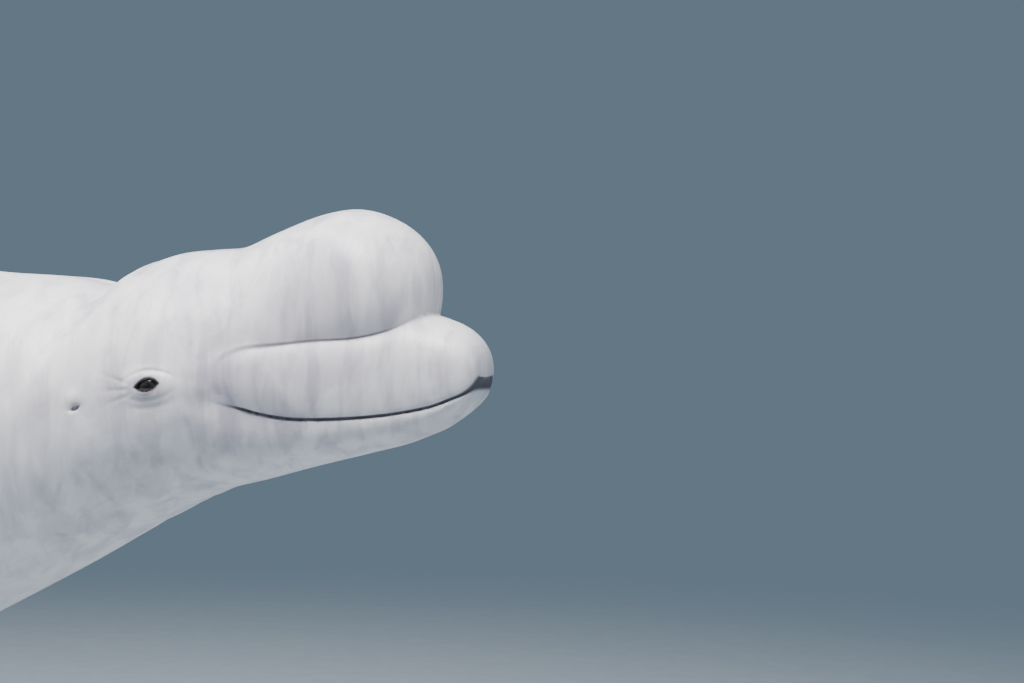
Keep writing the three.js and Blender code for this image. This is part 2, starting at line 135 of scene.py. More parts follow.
def smooth_max(a: np.ndarray, b: np.ndarray, radius: float | np.ndarray) -> np.ndarray:
    """Keeps what two solids share, with an edge rounded by about the given radius."""
    return -smooth_min(-a, -b, radius)


def smooth_step(value: np.ndarray | float, low: float, high: float) -> np.ndarray:
    """A soft step from 0 at low to 1 at high."""
    t = np.clip((value - low) / (high - low), 0, 1)
    return t * t * (3 - 2 * t)


def opening(distance: np.ndarray, length: float, power: float) -> np.ndarray:
    """How far a blunt end of a given length has opened, from near 0 at its tip to 1."""
    t = np.clip(distance / length, 1e-4, 1)
    return (1 - (1 - t) ** power) ** (1 / power)


def oval(y: np.ndarray, z: np.ndarray, half: np.ndarray, reach: np.ndarray, power: float) -> np.ndarray:
    """Distance outside a rounded section, negative inside.

    Args:
        y: Offsets from its middle.
        z: Heights over its widest level.
        half: Its half width.
        reach: Its height above or below that level.
        power: 2 for an ellipse and more for a squarer section.

    Returns:
        About the distance, in the same unit.
    """
    a, b = np.abs(y) / half, np.abs(z) / reach
    level = np.maximum((a**power + b**power) ** (1 / power), 1e-3)
    slope = np.hypot(a ** (power - 1) / half, b ** (power - 1) / reach) / level ** (power - 1)
    return (level - 1) / np.maximum(slope, 0.5 / np.maximum(half, reach))


def ridge(value: np.ndarray, width: float) -> np.ndarray:
    """A rounded ridge of height 1 along the places where the value is 0."""
    return np.exp(-((value / width) ** 2))


@dataclass(frozen=True)
class Trunk:
    """The melon and the trunk behind it."""

    front: float = 59.0
    front_height: float = 62.0
    nose_length: float = 104.0
    undercut_length: float = 40.0
    bluntness: float = 2.2
    power: float = 2.15
    top: Curve = Curve([
        (54, 148), (110, 152), (160, 155), (200, 148), (249, 130), (290, 113), (330, 110), (371, 106),
        (408, 94), (440, 81), (466, 77), (500, 78), (560, 82), (631, 87), (850, 112), (1200, 158),
        (1600, 186), (2000, 186), (2400, 164), (2800, 116), (3200, 56), (3600, 6), (3800, -18), (3950, -40),
        (4080, -66), (4195, -92),
    ])
    bottom: Curve = Curve([
        (54, -10), (120, -30), (200, -72), (250, -112), (300, -150), (350, -186), (429, -226), (520, -276),
        (631, -332), (850, -440), (1100, -530), (1400, -596), (1650, -612), (2000, -592), (2400, -512),
        (2800, -402), (3200, -288), (3600, -194), (3800, -164), (3950, -150), (4080, -132), (4195, -106),
    ])
    half_width: Curve = Curve([
        (54, 98), (150, 101), (200, 108), (250, 123), (300, 144), (350, 164), (429, 182), (520, 198),
        (631, 218), (850, 282), (1100, 338), (1400, 380), (1650, 388), (2000, 368), (2400, 310),
        (2800, 232), (3200, 152), (3600, 84), (3800, 58), (3950, 44), (4080, 30), (4195, 12),
    ])
    waist: Curve = Curve([
        (54, 62), (150, 46), (200, 20), (250, -22), (300, -52), (350, -66), (429, -80), (520, -98),
        (631, -122), (850, -168), (1200, -204), (1650, -222), (2000, -210), (2400, -178), (2800, -144),
        (3200, -114), (3600, -92), (3950, -95), (4195, -99),
    ])

    def depth(self, s: np.ndarray, y: np.ndarray, z: np.ndarray) -> np.ndarray:
        """Distance outside the surface, negative inside.

        Args:
            s: Stations.
            y: Offsets from the midline.
            z: Heights over the datum.

        Returns:
            About the distance to the surface, in millimetres.
        """
        ahead = s - self.front
        open_ = opening(ahead, self.nose_length, self.bluntness)
        under = opening(ahead, self.undercut_length, 2)
        waist = self.front_height + (self.waist(s) - self.front_height) * open_
        top = self.front_height + (self.top(s) - self.front_height) * open_
        bottom = self.front_height + (self.bottom(s) - self.front_height) * under
        half = self.half_width(s) * open_
        reach = np.where(z > waist, top - waist, waist - bottom)
        away = oval(y, z - waist, half, reach, self.power)
        outside = np.maximum(np.maximum(-ahead, s - TRUNK_END), 0)
        return np.hypot(np.maximum(away, 0), outside) + np.minimum(away, 0) * (outside == 0)

    def flank(self, s: float, z: float) -> float:
        """The offset of the skin from the midline at a station and height.

        Args:
            s: The station.
            z: The height over the datum.

        Returns:
            The offset, in millimetres.
        """
        waist = float(self.waist(s))
        reach = float(self.top(s)) - waist if z > waist else waist - float(self.bottom(s))
        rise = min(abs(z - waist) / reach, 1.0)
        return float(self.half_width(s)) * (1 - rise**self.power) ** (1 / self.power)


@dataclass(frozen=True)
class Beak:
    """Both jaws, with a rolled upper lip over a lower lip that is set back."""

    tip_height: float = -31.0
    round_length: float = 65.0
    end: float = 345.0
    set_back: float = 0.13
    corner: float = 298.0
    groove: float = 2.6
    groove_spread: float = 2.5
    lip_edge: float = 5.0
    bluntness: float = 2.2
    top: Curve = Curve([
        (0, 26), (38, 27), (57, 30), (79, 36), (95, 36), (122, 34), (158, 34), (200, 33), (250, 26),
        (285, 8), (345, -30),
    ])
    mouth: Curve = Curve([
        (0, -66), (26, -68), (53, -75), (89, -82), (124, -86), (161, -88), (197, -88), (222, -85),
        (240, -81), (254, -77), (268, -73), (298, -66), (345, -72),
    ])
    bottom: Curve = Curve([
        (0, -90), (30, -95), (58, -105), (98, -120), (138, -130), (179, -140), (220, -150), (280, -166),
        (345, -180),
    ])
    lip: Curve = Curve([
        (0, 62), (60, 69), (100, 84), (150, 101), (200, 116), (250, 131), (285, 137), (345, 138),
    ])

    def mouth_line(self, s: np.ndarray) -> np.ndarray:
        """Height of the line between the lips."""
        rise = opening(np.maximum(s, 1), self.round_length, 3)
        return self.tip_height + (self.mouth(s) - self.tip_height) * rise

    def over_mouth(self, s: np.ndarray, z: np.ndarray) -> np.ndarray:
        """Distance over the sheet between the lips, which turns up at the tip of the snout."""
        slope = np.clip((self.mouth_line(s + 1) - self.mouth_line(s - 1)) / 2, -2, 2)
        return (z - self.mouth_line(s)) / np.sqrt(1 + slope**2)

    def off_seam(self, s: np.ndarray, z: np.ndarray) -> np.ndarray:
        """Distance from the line between the lips, as seen on the skin."""
        return np.hypot(self.over_mouth(s, z), (z - self.mouth_line(s)) / 3)

    def depth(self, s: np.ndarray, y: np.ndarray, z: np.ndarray) -> np.ndarray:
        """Distance outside the surface, negative inside.

        Args:
            s: Stations.
            y: Offsets from the midline.
            z: Heights over the datum.

        Returns:
            About the distance to the surface, in millimetres.
        """
        open_ = opening(s, self.round_length, self.bluntness)
        wide = opening(s, self.round_length, 4)
        top = self.tip_height + (self.top(s) - self.tip_height) * open_
        mouth = self.mouth_line(s)
        bottom = self.tip_height + (self.bottom(s) - self.tip_height) * open_
        lip = self.lip(s) * wide
        fade = 1 - smooth_step(s, self.corner - 50, self.corner - 6)
        middle = mouth + 0.42 * (top - mouth)
        reach = np.where(z > middle, top - middle, (middle - mouth) / 0.55)
        upper = oval(y, z - middle, lip, reach, 2.35)
        jaw = lip * (1 - self.set_back * fade)
        level = mouth - 2 * open_
        drop = np.maximum(level - bottom, 1)
        lower = oval(y, np.maximum(level - z, 0), jaw, drop, 2.3)
        shut = 1.0 + 8.0 * (1 - fade)
        over = self.over_mouth(s, z)
        buried = np.maximum(np.minimum(upper, lower), -s)
        upper = smooth_max(upper, -shut - over, self.lip_edge)
        lower = smooth_max(lower, over - shut, self.lip_edge)
        both = smooth_min(upper, lower, 1.5 + 9 * (1 - fade))
        seam = ridge(self.off_seam(s, z), self.groove_spread) * smooth_step(buried, -6, -2)
        both = both + self.groove * fade * seam
        outside = np.maximum(np.maximum(-s, s - self.end), 0)
        return np.hypot(np.maximum(both, 0), outside) + np.minimum(both, 0) * (outside == 0)


@dataclass(frozen=True)
class Spot:
    """A place on the side of the head with its own directions."""

    station: float
    height: float
    trunk: Trunk = Trunk()
    step: float = 8.0

    def at(self, s: float, z: float) -> np.ndarray:
        """The point of the left flank at a station and height."""
        return np.array([s, self.trunk.flank(s, z), z])

    def frame(self) -> tuple[np.ndarray, np.ndarray, np.ndarray, np.ndarray]:
        """Finds the spot's place and its own directions on the left side of the head.

        Returns:
            The place, and the forward, upward and outward directions, as rows of (station, side, height).
        """
        s, z, step = self.station, self.height, self.step
        forward = self.at(s - step, z) - self.at(s + step, z)
        forward /= np.linalg.norm(forward)
        rise = self.at(s, z + step) - self.at(s, z - step)
        out = np.cross(forward, rise)
        out /= np.linalg.norm(out)
        out *= np.sign(out[1])
        up = rise - out * rise.dot(out) - forward * rise.dot(forward)
        return self.at(s, z), forward, up / np.linalg.norm(up), out

    def local(self, s: np.ndarray, y: np.ndarray, z: np.ndarray) -> tuple[np.ndarray, np.ndarray, np.ndarray]:
        """Distances from the spot, the same on both sides of the head.

        Args:
            s: Stations.
            y: Offsets from the midline.
            z: Heights over the datum.

        Returns:
            The distances forward, upward and outward, in millimetres.
        """
        point, forward, up, out = self.frame()
        ds, dy, dz = s - point[0], np.abs(y) - point[1], z - point[2]
        return tuple(ds * axis[0] + dy * axis[1] + dz * axis[2] for axis in (forward, up, out))


@dataclass(frozen=True)
class Flesh:
    """The whole body but its paddles, as one function that is negative inside."""

    trunk: Trunk = Trunk()
    beak: Beak = Beak()
    eye: Spot = Spot(349, -50)
    ear: Spot = Spot(430, -75)
    eye_radius: float = 16.0
    eye_proud: float = 5.0
    nape_station: float = 469.0
    nape_sweep: float = 104.0
    nape_forward: float = 24.0
    nape_depth: float = 9.0
    # Each fold of the neck: its station, its depth and the angles round the section where it starts and ends.
    neck_folds: tuple = ((560, 2.4, 0.5, 1.9), (640, 2.0, 0.9, 2.3), (742, 1.6, 1.1, 2.6))
    # Each fold of the throat: its station and its depth.
    throat_folds: tuple = ((392, 2.2), (436, 2.0))
    # The dimple behind the corner of the mouth: its station, its height, its depth and its spread.
    dimple: tuple = (290, -70, 3.0, 20.0)
    ridge_height: float = 15.0
    ridge_spread: float = 26.0
    ridge_rise: tuple = (1750, 2000)
    ridge_fall: tuple = (2450, 2700)
    # Each fold round the eye: its depth, its height over the eye's middle, its bend, its width, its own
    # middle and its reach to the front and rear.
    eye_folds: tuple = (
        (1.5, 17, 90.0, 2.6, 0, 26.0), (1.1, -16, -110.0, 2.6, 2, 22.0), (0.8, -25, -170.0, 3.2, 4, 24.0),
    )
    # Each wrinkle behind the eye: its slope and its height over the eye's middle.
    eye_wrinkles: tuple = ((0.34, 2.0), (-0.05, -4.0), (-0.42, -10.0))
    lid_height: float = 7.6
    lid_reach: float = 13.4
    lid_tilt: float = 0.17
    # The half length, half height and half depth of the swelling that the lids are cut into.
    lid_swelling: tuple = (21.5, 14.5, 7.4)
    eye_play: float = 1.2
    ear_bore: float = 1.7
    ear_depth: float = 12.0
    blowhole_station: float = 402.0
    blowhole_radius: float = 34.0
    blowhole_half_angle: float = 1.15
    blowhole_depth: float = 16.0

    def turn(self, s: np.ndarray, y: np.ndarray, z: np.ndarray) -> np.ndarray:
        """The angle round a section, from 0 at its top to pi at its bottom.

        Args:
            s: Stations.
            y: Offsets from the midline.
            z: Heights over the datum.

        Returns:
            The angles, in radians.
        """
        waist = self.trunk.waist(s)
        reach = np.where(z > waist, self.trunk.top(s) - waist, waist - self.trunk.bottom(s))
        return np.arctan2(np.abs(y) / self.trunk.half_width(s), (z - waist) / reach)

    def folds(self, s: np.ndarray, y: np.ndarray, z: np.ndarray) -> np.ndarray:
        """How far the nape, neck, throat and flank folds sink into the skin.

        Args:
            s: Stations.
            y: Offsets from the midline.
            z: Heights over the datum.

        Returns:
            The depths of the folds, in millimetres.
        """
        turn = self.turn(s, y, z)
        forward = self.nape_forward * ridge(turn - 0.55, 0.4)
        nape = s - self.nape_station + forward - self.nape_sweep * np.maximum(turn - 0.75, 0) ** 2
        station, height, depth, spread = self.dimple
        dip = depth * ridge(np.hypot(s - station, 1.4 * (z - height)), spread)
        fade = 1 - smooth_step(turn, 0.55, 1.7)
        dip = dip + self.nape_depth * ridge(nape, np.where(nape > 0, 24.0, 14.0)) * fade
        sway = 10 * np.sin(2.1 * turn + 0.8)
        for station, depth, low, high in self.neck_folds:
            line = s - station - 45 * turn + sway
            here = smooth_step(turn, low, low + 0.5) * (1 - smooth_step(turn, high - 0.5, high))
            dip = dip + depth * ridge(line, 15.0) * here - 0.5 * depth * ridge(line + 26, 16.0) * here
        throat = smooth_step(turn, 2.2, 2.8)
        for station, depth in self.throat_folds:
            dip = dip + depth * ridge(s - station + 60 * (np.pi - turn), 11.0) * throat
        return dip

    def ridge_line(self, s: np.ndarray, y: np.ndarray) -> np.ndarray:
        """The low notched ridge along the back.

        Args:
            s: Stations.
            y: Offsets from the midline.

        Returns:
            The ridge's height at each point, in millimetres.
        """
        along = smooth_step(s, *self.ridge_rise) * (1 - smooth_step(s, *self.ridge_fall))
        teeth = 0.92 + 0.08 * np.sin(s / 16.0 + 1.6 * np.sin(s / 90.0))
        return self.ridge_height * along * teeth * ridge(y, self.ridge_spread)

    def around_eye(self, s: np.ndarray, y: np.ndarray, z: np.ndarray) -> np.ndarray:
        """How far the brow, the pouch and the fine wrinkles round the eye stand out of the skin.

        Args:
            s: Stations.
            y: Offsets from the midline.
            z: Heights over the datum.

        Returns:
            The heights over the skin, in millimetres.
        """
        a, b, _ = self.eye.local(s, y, z)
        near = ridge(np.hypot(a, b * 1.2), 62.0)
        swell = 2.6 * ridge(np.hypot(a / 1.5, b - 3), 24.0)
        lift = b - 0.10 * a
        crease = np.zeros_like(lift)
        for depth, height, bend, width, middle, reach in self.eye_folds:
            crease = crease - depth * ridge(lift - height + a * a / bend, width) * ridge(a - middle, reach)
        tail = ridge(a + 36, 20.0)
        for slope, offset in self.eye_wrinkles:
            crease = crease - 0.9 * ridge(b - offset + slope * (a + 20), 2.4) * tail
        return swell + crease * near * 1.35

    def fissure(self, a: np.ndarray, b: np.ndarray) -> np.ndarray:
        """Distance outside the opening between the lids, from places ahead of and over the eye's middle."""
        half = self.lid_height * (1 - (np.abs(a) / self.lid_reach) ** 2.2)
        return np.maximum(np.abs(b - self.lid_tilt * a - 0.4) - half, np.abs(a) - self.lid_reach - 0.6)

    def depth(self, s: np.ndarray, y: np.ndarray, z: np.ndarray) -> np.ndarray:
        """Distance outside the skin, negative inside.

        Args:
            s: Stations.
            y: Offsets from the midline.
            z: Heights over the datum.

        Returns:
            About the distance to the skin, in millimetres.
        """
        fillet = 2.6 + 14 * smooth_step(s, 225, 300)
        whole = smooth_min(self.trunk.depth(s, y, z), self.beak.depth(s, y, z), fillet)
        return whole + self.folds(s, y, z) - self.ridge_line(s, y)

    def detail(self, s: np.ndarray, y: np.ndarray, z: np.ndarray) -> np.ndarray:
        """The skin with the eyelids, the ears and the blowhole, for the front of the animal.

        Args:
            s: Stations.
            y: Offsets from the midline.
            z: Heights over the datum.

        Returns:
            About the distance to the skin, in millimetres.
        """
        whole = self.depth(s, y, z) - self.around_eye(s, y, z)
        a, b, c = self.eye.local(s, y, z)
        length, height, depth = self.lid_swelling
        rim = np.sqrt((a / length) ** 2 + (b / height) ** 2 + (c / depth) ** 2)
        whole = smooth_min(whole, (rim - 1) * depth, 8.0)
        slit = self.fissure(a, b)
        globe = np.sqrt(a * a + b * b + (c - self.eye_proud + self.eye_radius) ** 2) - self.eye_radius
        hollow = smooth_max(slit, -(globe + self.eye_play), 1.0)
        hollow = np.maximum(hollow, -(c + self.eye_radius))
        whole = smooth_max(whole, -hollow, 2.2)
        a, b, c = self.ear.local(s, y, z)
        whole = whole - 2.6 * ridge(np.hypot(a + 2, b - 11), 9.0)
        deep = c + self.ear_depth
        pit = np.hypot(a * 0.6, b - 0.3 * a) - self.ear_bore - 0.14 * deep
        whole = smooth_max(whole, -np.maximum(pit, -deep), 3.5)
        return self.blowhole(whole, s, y, z)

    def blowhole(self, whole: np.ndarray, s: np.ndarray, y: np.ndarray, z: np.ndarray) -> np.ndarray:
        """Adds the crescent blowhole, with its horns to the front and a soft rim round it.

        Args:
            whole: Distances to the skin without it.
            s: Stations.
            y: Offsets from the midline.
            z: Heights over the datum.

        Returns:
            The distances to the skin with it.
        """
        centre, radius, half_angle = self.blowhole_station, self.blowhole_radius, self.blowhole_half_angle
        away = np.hypot(s - centre, y)
        bearing = np.abs(np.arctan2(y, s - centre))
        beyond = np.maximum(bearing - half_angle, 0) * radius
        line = np.hypot(away - radius, beyond)
        crown = float(self.trunk.top(centre + radius))
        above = smooth_step(z, crown - 60, crown - 30)
        whole = whole - (1.3 * ridge(line - 9, 9.0) - 1.6 * ridge(line, 6.0)) * above
        slit = line - 2.2 * (1 - 0.5 * smooth_step(bearing, 0.5, half_angle))
        return smooth_max(whole, -np.maximum(slit, self.trunk.top(s) - self.blowhole_depth - z), 3.5)


class Lattice:
    """A grid of cells that are small at the head and grow towards the trunk."""

    def __init__(self, flesh: Flesh, fine: float, coarse: float) -> None:
        """Sets out the stations and counts the cells to each side.

        Args:
            flesh: The body to be meshed.
            fine: The size of a cell at the head, in millimetres.
            coarse: The size of a cell at the trunk.
        """
        self.flesh = flesh
        self.cell = Curve([
            (-20, fine), (300, fine), (470, fine * 1.08), (620, fine * 1.8), (900, coarse * 0.9),
            (1300, coarse), (2900, coarse), (3700, coarse * 0.62), (4230, coarse * 0.5),
        ])
        self.middle = Curve([
            (-20, -30), (60, 0), (160, 10), (260, -20), (350, -38), (520, -98), (631, -122), (850, -164),
            (1200, -194), (1650, -213), (2000, -203), (2400, -174), (2800, -143), (3200, -116), (3600, -94),
            (3950, -95), (4230, -99),
        ])
        stations = [-3.5 * fine]
        while stations[-1] < TRUNK_END + 20:
            stations.append(stations[-1] + float(self.cell(stations[-1])))
        self.stations = np.array(stations)
        span = self.cell(self.stations)
        body = np.clip(self.stations, 30, TRUNK_END)
        half = flesh.trunk.half_width(body)
        low = self.middle(self.stations) - np.minimum(flesh.trunk.bottom(body), flesh.beak.bottom(body))
        high = flesh.trunk.top(body) - self.middle(self.stations)
        self.sides = int(np.ceil(np.max(half / span))) + 4
        self.down = int(np.ceil(np.max(low / span))) + 4
        self.up = int(np.ceil(np.max(high / span))) + 5

    def values(self) -> np.ndarray:
        """The flesh function at every grid point.

        Returns:
            One value at each station, side and height.
        """
        j = np.arange(-self.sides, self.sides + 1)
        k = np.arange(-self.down, self.up + 1)
        out = np.empty((len(self.stations), len(j), len(k)), dtype=np.float32)
        for start in range(0, len(self.stations), 24):
            s = self.stations[start : start + 24].reshape(-1, 1, 1)
            y = j.reshape(1, -1, 1) * self.cell(s)
            z = self.middle(s) + k.reshape(1, 1, -1) * self.cell(s)
            function = self.flesh.detail if s.min() < FACE_END else self.flesh.depth
            out[start : start + 24] = function(s, y, z)
        return out

    def points(self, index: np.ndarray) -> np.ndarray:
        """Grid places turned into (station, side, height) rows.

        Args:
            index: Rows of three places in the grid, with fractions.

        Returns:
            The rows, in millimetres.
        """
        s = np.interp(index[:, 0], np.arange(len(self.stations)), self.stations)
        cell = self.cell(s)
        side = (index[:, 1] - self.sides) * cell
        height = self.middle(s) + (index[:, 2] - self.down) * cell
        return np.column_stack([s, side, height])


def surface_net(values: np.ndarray) -> tuple[np.ndarray, np.ndarray]:
    """Finds the surface where grid values change sign.

    Args:
        values: A block of values, negative inside.

    Returns:
        Points in grid places, and faces of four points each that face outwards.
    """
    inside = values < 0
    shape = np.array(values.shape)
    count = np.zeros(shape - 1, dtype=np.uint8)
    for i, j, k in itertools.product((0, 1), repeat=3):
        count += inside[i : shape[0] - 1 + i, j : shape[1] - 1 + j, k : shape[2] - 1 + k]
    cells = np.argwhere((count > 0) & (count < 8))
    order = np.full(shape - 1, -1, dtype=np.int64)
    order[tuple(cells.T)] = np.arange(len(cells))
    total, crossings = np.zeros((len(cells), 3)), np.zeros(len(cells))
    faces = []
    for axis in range(3):
        others = [n for n in range(3) if n != axis]
        for shift in itertools.product((0, 1), repeat=2):
            start = cells.copy()
            start[:, others[0]] += shift[0]
            start[:, others[1]] += shift[1]
            end = start.copy()
            end[:, axis] += 1
            a, b = values[tuple(start.T)].astype(float), values[tuple(end.T)].astype(float)
            cross = (a < 0) != (b < 0)
            place = start.astype(float)
            place[:, axis] += np.where(cross, a / np.where(cross, a - b, 1), 0)
            total[cross] += place[cross]
            crossings += cross
        low = [slice(1, size - 1) for size in shape]
        high = list(low)
        low[axis], high[axis] = slice(0, shape[axis] - 1), slice(1, shape[axis])
        first, second = inside[tuple(low)], inside[tuple(high)]
        edges = np.argwhere(first != second)
        leaving = first[tuple(edges.T)]
        for other in others:
            edges[:, other] += 1
        ring = []
        for shift in ((-1, -1), (0, -1), (0, 0), (-1, 0)):
            at = edges.copy()
            at[:, others[0]] += shift[0]
            at[:, others[1]] += shift[1]
            ring.append(order[tuple(at.T)])
        quads = np.column_stack(ring)
        turned = leaving if axis != 1 else ~leaving
        quads[~turned] = quads[~turned][:, ::-1]
        faces.append(quads)
    return total / crossings[:, None], np.vstack(faces)


def settle(points: np.ndarray, function: Callable, reach: np.ndarray, rounds: int) -> np.ndarray:
    """Moves points onto the surface of a function, by steps of at most a given reach.

    Args:
        points: Rows of (station, side, height).
        function: Gives the distances outside the surface at stations, sides and heights.
        reach: The longest step of each point.
        rounds: The number of steps.

    Returns:
        The moved points.
    """
    step = 0.25
    for _ in range(rounds):
        s, y, z = points.T
        value = function(s, y, z)
        slope = np.column_stack([
            function(s + step, y, z) - function(s - step, y, z),
            function(s, y + step, z) - function(s, y - step, z),
            function(s, y, z + step) - function(s, y, z - step),
        ]) / (2 * step)
        size = np.maximum(np.linalg.norm(slope, axis=1), 0.25)
        move = np.clip(value / size, -reach, reach) / size
        points = points - slope * move[:, None]
    return points


@dataclass(frozen=True)
class Section:
    """One closed section of a paddle, with its middle, its two edges, its thickness and its directions."""

    middle: np.ndarray
    front: float
    rear: float
    thick: float
    chord: np.ndarray
    lift: np.ndarray

    def ring(self, per_side: int) -> np.ndarray:
        """The section's outline, from its front edge over the top to its rear edge and back.

        Args:
            per_side: The number of points over the top, and again underneath.

        Returns:
            The points, in millimetres.
        """
        angle = np.pi * np.arange(per_side * 2) / per_side
        share = (1 + np.cos(angle)) / 2
        fullness = np.sin(angle) * (0.62 + 0.38 * share) * self.thick / 2
        along = self.rear + (self.front - self.rear) * share
        return self.middle + along[:, None] * self.chord + fullness[:, None] * self.lift


@dataclass(frozen=True)
class Flipper:
    """A broad paddle, narrow at its root, with its rounded tip curled up."""

    side: Side
    station: float = 925.0
    height: float = -300.0
    span: float = 500.0
    sweep: float = 0.60
    spread: float = 0.66
    drop: float = 0.46
    curl: float = 60.0
    root: float = 70.0
    leading: Curve = Curve([(0, 92), (0.12, 98), (0.35, 126), (0.6, 134), (0.8, 118), (0.93, 78), (1, 20)])
    trailing: Curve = Curve([
        (0, -92), (0.12, -96), (0.35, -132), (0.6, -152), (0.8, -138), (0.93, -92), (1, -26),
    ])
    thickness: Curve = Curve([(0, 78), (0.12, 66), (0.35, 44), (0.6, 32), (0.8, 22), (1, 9)])

    def sections(self) -> list[Section]:
        """Sections from inside the body to the tip.

        Returns:
            The sections, in millimetres with x as minus the station.
        """
        sign = self.side.value
        outward = np.array([-self.sweep, sign * self.spread, -self.drop])
        outward /= np.linalg.norm(outward)
        chord = np.array([1.0, 0, 0]) - outward * outward[0]
        chord /= np.linalg.norm(chord)
        lift = np.cross(chord, outward) * -sign
        start = np.array([-self.station, sign * Trunk().flank(self.station, self.height), self.height])
        tip = 0.9 + 0.1 * np.sin(np.linspace(0.08, 1, 14) * np.pi / 2)
        shares = np.concatenate([[-self.root / self.span], np.linspace(-0.05, 0.9, 40), tip])
        made = []
        for t in shares:
            close = math.sqrt(max(1 - max((t - 0.95) / 0.052, 0) ** 2, 0.0))
            front, rear = float(self.leading(t)), float(self.trailing(t))
            mid, half = (front + rear) / 2, (front - rear) / 2 * close
            middle = start + outward * self.span * t + lift * self.curl * max(t, 0) ** 2.5
            made.append(Section(
                middle, mid + half, mid - half, float(self.thickness(t)) * close, chord, lift))
        return made


@dataclass(frozen=True)
class Flukes:
    """Both flukes as one crescent with a notch in the middle of its trailing edge."""

    half_span: float = 525.0
    height: float = -99.0
    rise: float = 36.0
    leading: Curve = Curve([
        (0, 3850), (60, 3885), (150, 3948), (250, 4010), (350, 4070), (440, 4126), (500, 4172), (525, 4204),
    ])
    trailing: Curve = Curve([
        (0, 4200), (40, 4222), (100, 4250), (190, 4266), (300, 4266), (400, 4254), (470, 4238), (510, 4224),
        (525, 4210),
    ])
    thickness: Curve = Curve([(0, 66), (60, 58), (150, 44), (300, 28), (450, 15), (525, 8)])
    stages: int = 89

    def sections(self) -> list[Section]:
        """Sections from the right tip to the left tip.

        Returns:
            The sections, in millimetres with x as minus the station.
        """
        x_axis, z_axis = np.array([1.0, 0, 0]), np.array([0, 0, 1.0])
        made = []
        for t in np.sin(np.linspace(-1, 1, self.stages) * np.pi / 2 * 0.999):
            across = abs(t) * self.half_span
            middle = np.array([0.0, t * self.half_span, self.height + self.rise * t * t])
            front, rear = -float(self.leading(across)), -float(self.trailing(across))
            made.append(Section(middle, front, rear, float(self.thickness(across)), x_axis, z_axis))
        return made


class Place:
    """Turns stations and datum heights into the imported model's frame."""

    nose = 0.0

    @classmethod
    def metres(cls, points: np.ndarray) -> np.ndarray:
        """Rows of (minus station, side, height) in millimetres, as positions in metres."""
        return np.column_stack([cls.nose + points[:, 0] * MM, points[:, 1] * MM, (points[:, 2] + DATUM) * MM])

    @classmethod
    def millimetres(cls, points: np.ndarray) -> np.ndarray:
        """Positions in metres as rows of (station, side, height)."""
        return np.column_stack([(cls.nose - points[:, 0]) / MM, points[:, 1] / MM, points[:, 2] / MM - DATUM])


